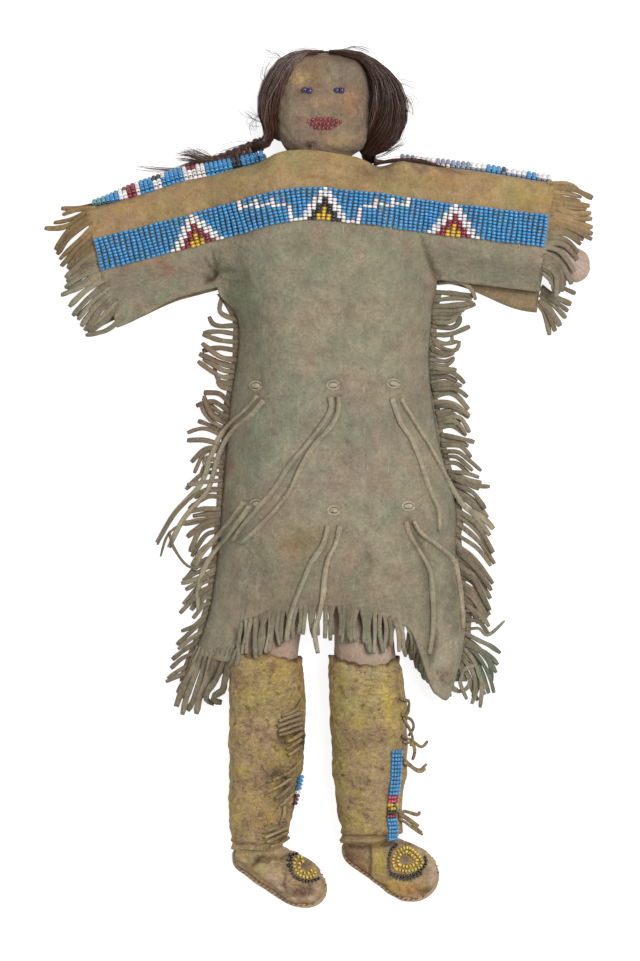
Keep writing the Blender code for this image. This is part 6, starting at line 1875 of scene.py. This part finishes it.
def make_moccasin(side, seed):
    heel = HEELS[side]
    axis, across, up = foot_frame(side)
    shares = 1 - (1 - np.linspace(0, 1, 60)) ** 1.5
    wide, high = foot_size(side, shares)
    angle = np.radians(np.linspace(-12, 192, 40))
    c, s = np.cos(angle), np.maximum(np.sin(angle), 0) ** 0.8
    rings = (heel + axis * shares[:, None, None] * FOOT_LONG + across * (wide[:, None] * c)[..., None]
             + up * (high[:, None] * s)[..., None])
    x, _, z, ankle_wide, ankle_deep = LEG_STATIONS[side][-1]
    low = BOOT_LOW[side] - 0.4
    middle = heel + axis * 0.19 * FOOT_LONG + up * 7
    centres = np.linspace((x, low, z), middle, 14)
    sizes = np.linspace((ankle_wide + 1.2, ankle_deep + 0.4), (10.4, 7), 14)
    ways = [np.broadcast_to(way, centres.shape) for way in ((1.0, 0, 0), (0, 0, 1.0))]
    ankle = ovals(centres, *ways, sizes[:, 0], sizes[:, 1], 32, LIMB_POWER)
    points, normals, faces = fused([closed_loft(rings), closed_loft(ankle)], UPPER_VOXEL, 4)
    share = (points - heel) @ axis / FOOT_LONG
    aside = (points - heel) @ across
    pucker = np.cos(aside * 2.1 + 0.6 * ripple(points, 8, seed))
    pucker = pucker * smooth((share - 0.72) / 0.1) * smooth((1 - share) / 0.1)
    rise = 0.3 * ripple(points, 7, seed + 1) + 0.16 * ripple(points, 2.6, seed + 2) + 0.34 * pucker
    crease = near_line(points[:, :2], [on_photo(*p) for p in ANKLE_CREASES[side]])[0]
    rise -= 1.1 * np.exp(-((crease / 0.8) ** 2)) * smooth((points[:, 2] - 9) / 4)
    points = points + normals * rise[:, None]
    # The spots and strokes include painted shade in the ankle creases.
    colours = painted(points, rgb(158, 136, 104), UPPER_SPOTS, seed, wander=0.6, strokes=UPPER_STROKES)
    # The gain makes the upper's colours lighter, as painted light.
    colours = colours * BOOT_UPPER_PAINTED_LIGHT
    upper = mesh_piece(f"boot_upper_{side}", points, faces, FOOT_LOOK, colours)
    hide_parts(f"moccasin_{side}")
    return points


def make_sole(side, seed):
    """A stiff hide sole with a rounded edge and an uneven outline, sewn on with coarse stitches."""
    axis, across, up = foot_frame(side)
    shares = 1 - (1 - np.linspace(0, 1, 110)) ** 1.5
    wide, _ = foot_size(side, shares)
    wide = wide + 0.6 + 0.14 * ripple(np.stack([shares * 40, 0 * shares], -1), 5, seed)
    at = HEELS[side] + axis * (mix(-0.9, 0.9, shares) + shares * FOOT_LONG)[:, None]
    right = np.array([(1, -0.35), (1, -1.15), (0.9, -1.5)])
    section = np.concatenate([right, right[::-1] * (-1, 1), [(-0.9, 0), (0.9, 0)]])
    rings = (at[:, None] + across * (wide[:, None] * section[:, 0])[..., None]
             - up * (0.3 - SOLE * section[:, 1] / 1.5)[None, :, None])
    points, faces = closed_loft(rings)
    colours = painted(points, rgb(170, 146, 116), (((350, 862), (6, 30), (140, 104, 84), 0.5),), seed)
    sole = mesh_piece(f"boot_sole_{side}", points, faces, BODY_LOOK, colours)
    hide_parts(f"sole_{side}")
    edge = np.arange(0.06, 0.97, 0.045)
    wide, _ = foot_size(side, edge)
    for way in (-1, 1):
        foot = HEELS[side] + axis * (edge * FOOT_LONG)[:, None] + across * (way * (wide + 0.5))[:, None]
        t = np.linspace(-1, 1, 5)
        line = foot[:, None] + up * (0.9 * t - 0.1)[:, None] + axis * (0.5 * t)[:, None]
        line = line + across * (way * 0.15 * (1 - t**2))[:, None]
        points, faces = tubes(line, across * way, 0.5, 0.5, ROUND)
        thread = mesh_piece(f"sole_stitches_{side}_{way + 1}", points, faces, BODY_LOOK,
                            painted(points, rgb(120, 90, 66), seed=seed + 1))
        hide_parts(f"sole_{side}")


# The toe rings' rows, as pixels: two rows of yellow beads and one row and a half of dark ones round them
TOE_ROWS = {
    "left": {
        "yellow": (
            ((301.4, 856.4), (297.4, 856.6), (294.8, 860.5), (295, 866), (298.5, 872), (305.8, 875.6),
             (314.6, 873.8), (314.2, 868.4)),
            ((302.6, 860.4), (300, 861.6), (299, 865.8), (302, 870.4), (308, 872), (311.4, 869.4)),
        ),
        "dark": (
            ((297, 853.2), (293, 854), (291, 858.5), (290.8, 866), (294, 873.4), (301.6, 878.6),
             (311, 879.4), (319, 877.4)),
            ((290, 853.6), (288.6, 858), (288.2, 864)),
        ),
    },
    "right": {
        "yellow": (
            ((395.1, 866.6), (392.8, 860), (395.6, 851.4), (406.6, 846.8), (415.6, 852), (421.8, 860.2),
             (418.6, 865.8), (406.6, 869.2), (396.4, 867.4)),
            ((399, 862.6), (397.6, 858.6), (400.2, 853.2), (406.6, 850.8), (412.4, 854.6), (417, 860),
             (413.4, 863), (406.4, 865), (400, 863.4)),
        ),
        "dark": (
            ((396.6, 843.2), (391.4, 848.4), (388.8, 855), (388.6, 864), (390.4, 870.6), (399, 873.4),
             (408.8, 873.6), (418.6, 869.6), (425.6, 862.4), (425, 856)),
            ((390, 873.4), (399.4, 876.6), (410, 876.4), (420.6, 871.8)),
        ),
    },
}
RING_PITCH = 1.22
RING_BEAD = (1.45, 1.0)


def make_toe_rings(side, upper, seed):
    """Rows of beads sewn to the toe, laid on the upper's highest points under each place."""
    for tone, colour in (("yellow", (206, 176, 64)), ("dark", (38, 34, 40))):
        parts = []
        for k, row in enumerate(TOE_ROWS[side][tone]):
            length = np.linalg.norm(np.diff(np.array(row) * PHOTO_SCALE, axis=0), axis=1).sum()
            line = route_through([on_photo(*p) for p in row], int(length / RING_PITCH))
            away = np.linalg.norm(upper[None, :, :2] - line[:, None], axis=2)
            nearest = upper[away.argmin(axis=1), 2]
            high = np.maximum(np.where(away < 0.9, upper[None, :, 2], -9).max(axis=1), nearest)
            high = np.convolve(np.pad(high, 1, "edge"), (0.25, 0.5, 0.25), "valid")
            centres = np.column_stack([line, high + 0.35])
            outward = np.tile(foot_frame(side)[2], (len(line), 1))
            way = unit(np.gradient(centres, axis=0))
            parts.append(string_beads(centres, way, outward, *RING_BEAD, [colour] * len(line), seed + k))
        bead_piece(f"toe_ring_{tone}_{side}", parts, f"toe_beads_{tone}_{side}")


PINK = (176, 62, 96)
LEGGING_RUNS = {
    "right": ((12, BLUE), (2, PINK), (2, YELLOW), (1, BLACK), (1, RED), (6, BLUE)),
    "left": ((4, BLUE), (1, WHITE), (1, BLACK), (1, RED), (1, BLACK)),
}


BOOT_LANE_PITCH = 1.55
BOOT_LANE_BEAD = (1.5, 1.22)
# The angle in radians between the columns of beads, round the leg
BOOT_LANE_TURN = 1.36 / 14


def make_legging_lane(side, degrees, top, columns, seed, lean=0.0):
    """Rows of beads down the front of a legging."""
    shades = [shade for count, shade in LEGGING_RUNS[side] for _ in range(count)]
    centres, outward, colours = [], [], []
    for k, shade in enumerate(shades):
        y = top - BOOT_LANE_PITCH * (k + 0.5)
        for j in range(columns):
            angle = math.radians(degrees + lean * k / len(shades)) + (j - 1.5) * BOOT_LANE_TURN
            centres.append(legging_point(LEG_STATIONS[side], np.array(y), np.array(angle), 0.95))
            outward.append((math.cos(angle), 0, math.sin(angle)))
            colours.append(shade if shade != YELLOW or (k + j) % 3 else (96, 84, 40))
    outward = np.array(outward)
    along = np.cross((0, 1.0, 0), outward)
    part = string_beads(np.array(centres), along, outward, *BOOT_LANE_BEAD, colours, seed)
    bead_piece(f"boot_lane_{side}", [part], f"legging_bead_lane_{side}")


def make_stitches():
    """A flat thong bridge between two slits, with puckered hide round it, above each pair of ties."""
    parts = []
    for number, (px, py) in enumerate(STITCHES):
        dice = np.random.default_rng(200 + number)
        x, y = on_photo(px, py)
        turn = dice.uniform(-0.3, 0.1)
        t = np.linspace(-1, 1, 9)
        line = np.column_stack([x + 1.7 * t * math.cos(turn), y + 1.7 * t * math.sin(turn)])
        z = dress_top(line[:, 0], line[:, 1]) + 0.75 - 1.1 * t**2
        wide = 1.9 * (1 - 0.35 * t**2)
        parts.append(tubes(np.column_stack([line, z])[None], (0, 0, 1.0), wide[None], 0.9, RIBBON))
        ring = np.linspace(0.3, 2 * math.pi - 0.1, 24)
        loop = np.column_stack([x + 2.5 * np.cos(ring), y + 1.7 * np.sin(ring)])
        z = dress_top(loop[:, 0], loop[:, 1]) - 0.06
        parts.append(tubes(np.column_stack([loop, z])[None], (0, 0, 1.0), 0.8, 0.6, ROUND))
    points, faces = joined(parts)
    colours = painted(points, rgb(184, 172, 150), seed=73)
    stitches = mesh_piece("tie_stitches", points, faces, DRESS_LOOK, colours)
    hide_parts("dress_front")


# Camera, lights and floor

# Each soft light's name, place in metres, width in metres and power in watts
LIGHTS = (("key", (0.5, 0.3, 1.3), 0.7, 19), ("fill", (-0.7, -0.6, 1.1), 1.0, 4))
SKY_STRENGTH = 0.34
FLOOR_HALF = 2.5
FLOOR_LOW = -0.0004


def make_stage():
    scene = bpy.context.scene
    scene.view_settings.view_transform = "Standard"
    camera = bpy.data.objects.new("camera", bpy.data.cameras.new("camera"))
    scene.collection.objects.link(camera)
    middle_x, middle_y = on_photo(PHOTO_WIDE / 2, PHOTO_HIGH / 2)
    camera.location = (middle_x * MM, middle_y * MM, (VIEW_HEIGHT + VIEW_DISTANCE) * MM)
    camera.data.lens = camera.data.sensor_width * VIEW_DISTANCE / (PHOTO_HIGH * PHOTO_SCALE)
    camera.data.clip_end = 10
    scene.camera = camera
    floor = bpy.data.objects.new("floor", bpy.data.meshes.new("floor"))
    corners = [(x * FLOOR_HALF, y * FLOOR_HALF, FLOOR_LOW) for x, y in ((-1, -1), (1, -1), (1, 1), (-1, 1))]
    floor.data.from_pydata(corners, [], [(0, 1, 2, 3)])
    scene.collection.objects.link(floor)
    paper = Look("lit_paper", Roughness=0.9, Specular_IOR_Level=0.1, Emission_Color=(1, 1, 1, 1),
                 Emission_Strength=0.86)
    paper.colour(paper.mix(paper.noise(40, 2), (0.3, 0.3, 0.3), (0.32, 0.32, 0.32)))
    floor.data.materials.append(paper.material)
    world = bpy.data.worlds.new("studio")
    scene.world = world
    world.use_nodes = True
    world.node_tree.nodes["Background"].inputs["Strength"].default_value = SKY_STRENGTH
    world.node_tree.nodes["Background"].inputs["Color"].default_value = (1, 1, 1, 1)
    for name, place, size, power in LIGHTS:
        data = bpy.data.lights.new(name, "AREA")
        data.size = size
        data.energy = power
        lamp = bpy.data.objects.new(name, data)
        lamp.location = place
        direction = -np.array(place)
        tilt = math.acos(-direction[2] / np.linalg.norm(direction))
        lamp.rotation_euler = (tilt, 0, math.atan2(direction[1], direction[0]) - math.pi / 2)
        scene.collection.objects.link(lamp)


make_stage()
make_ties()
front, front_area = make_dress_front()
back, back_area = make_dress_back()
fringes = make_fringes()
make_welts()
make_stitches()
make_front_lane()
make_shoulder_lane("left", SLEEVE_LEFT + 3.2, -17.8, SHOULDER_RUNS_LEFT, FOLD_LEFT, 8, 3, 63)
make_shoulder_lane("right", 30, SLEEVE_RIGHT - 0.6, SHOULDER_RUNS_RIGHT, FOLD_RIGHT, 7, 2, 64)
make_body()
make_head()
make_hair()
make_face_beads()
for side, seed in (("left", 120), ("right", 140)):
    legging, area = make_legging(side, seed)
    legging_fringe(side, seed + 10)
    upper = make_moccasin(side, seed + 5)
    make_sole(side, seed + 8)
    make_toe_rings(side, upper, seed + 9)
make_legging_lane("right", 48.5, -110.8, 4, 151, 4)
make_legging_lane("left", 22, -121.5, 3, 152, 2)
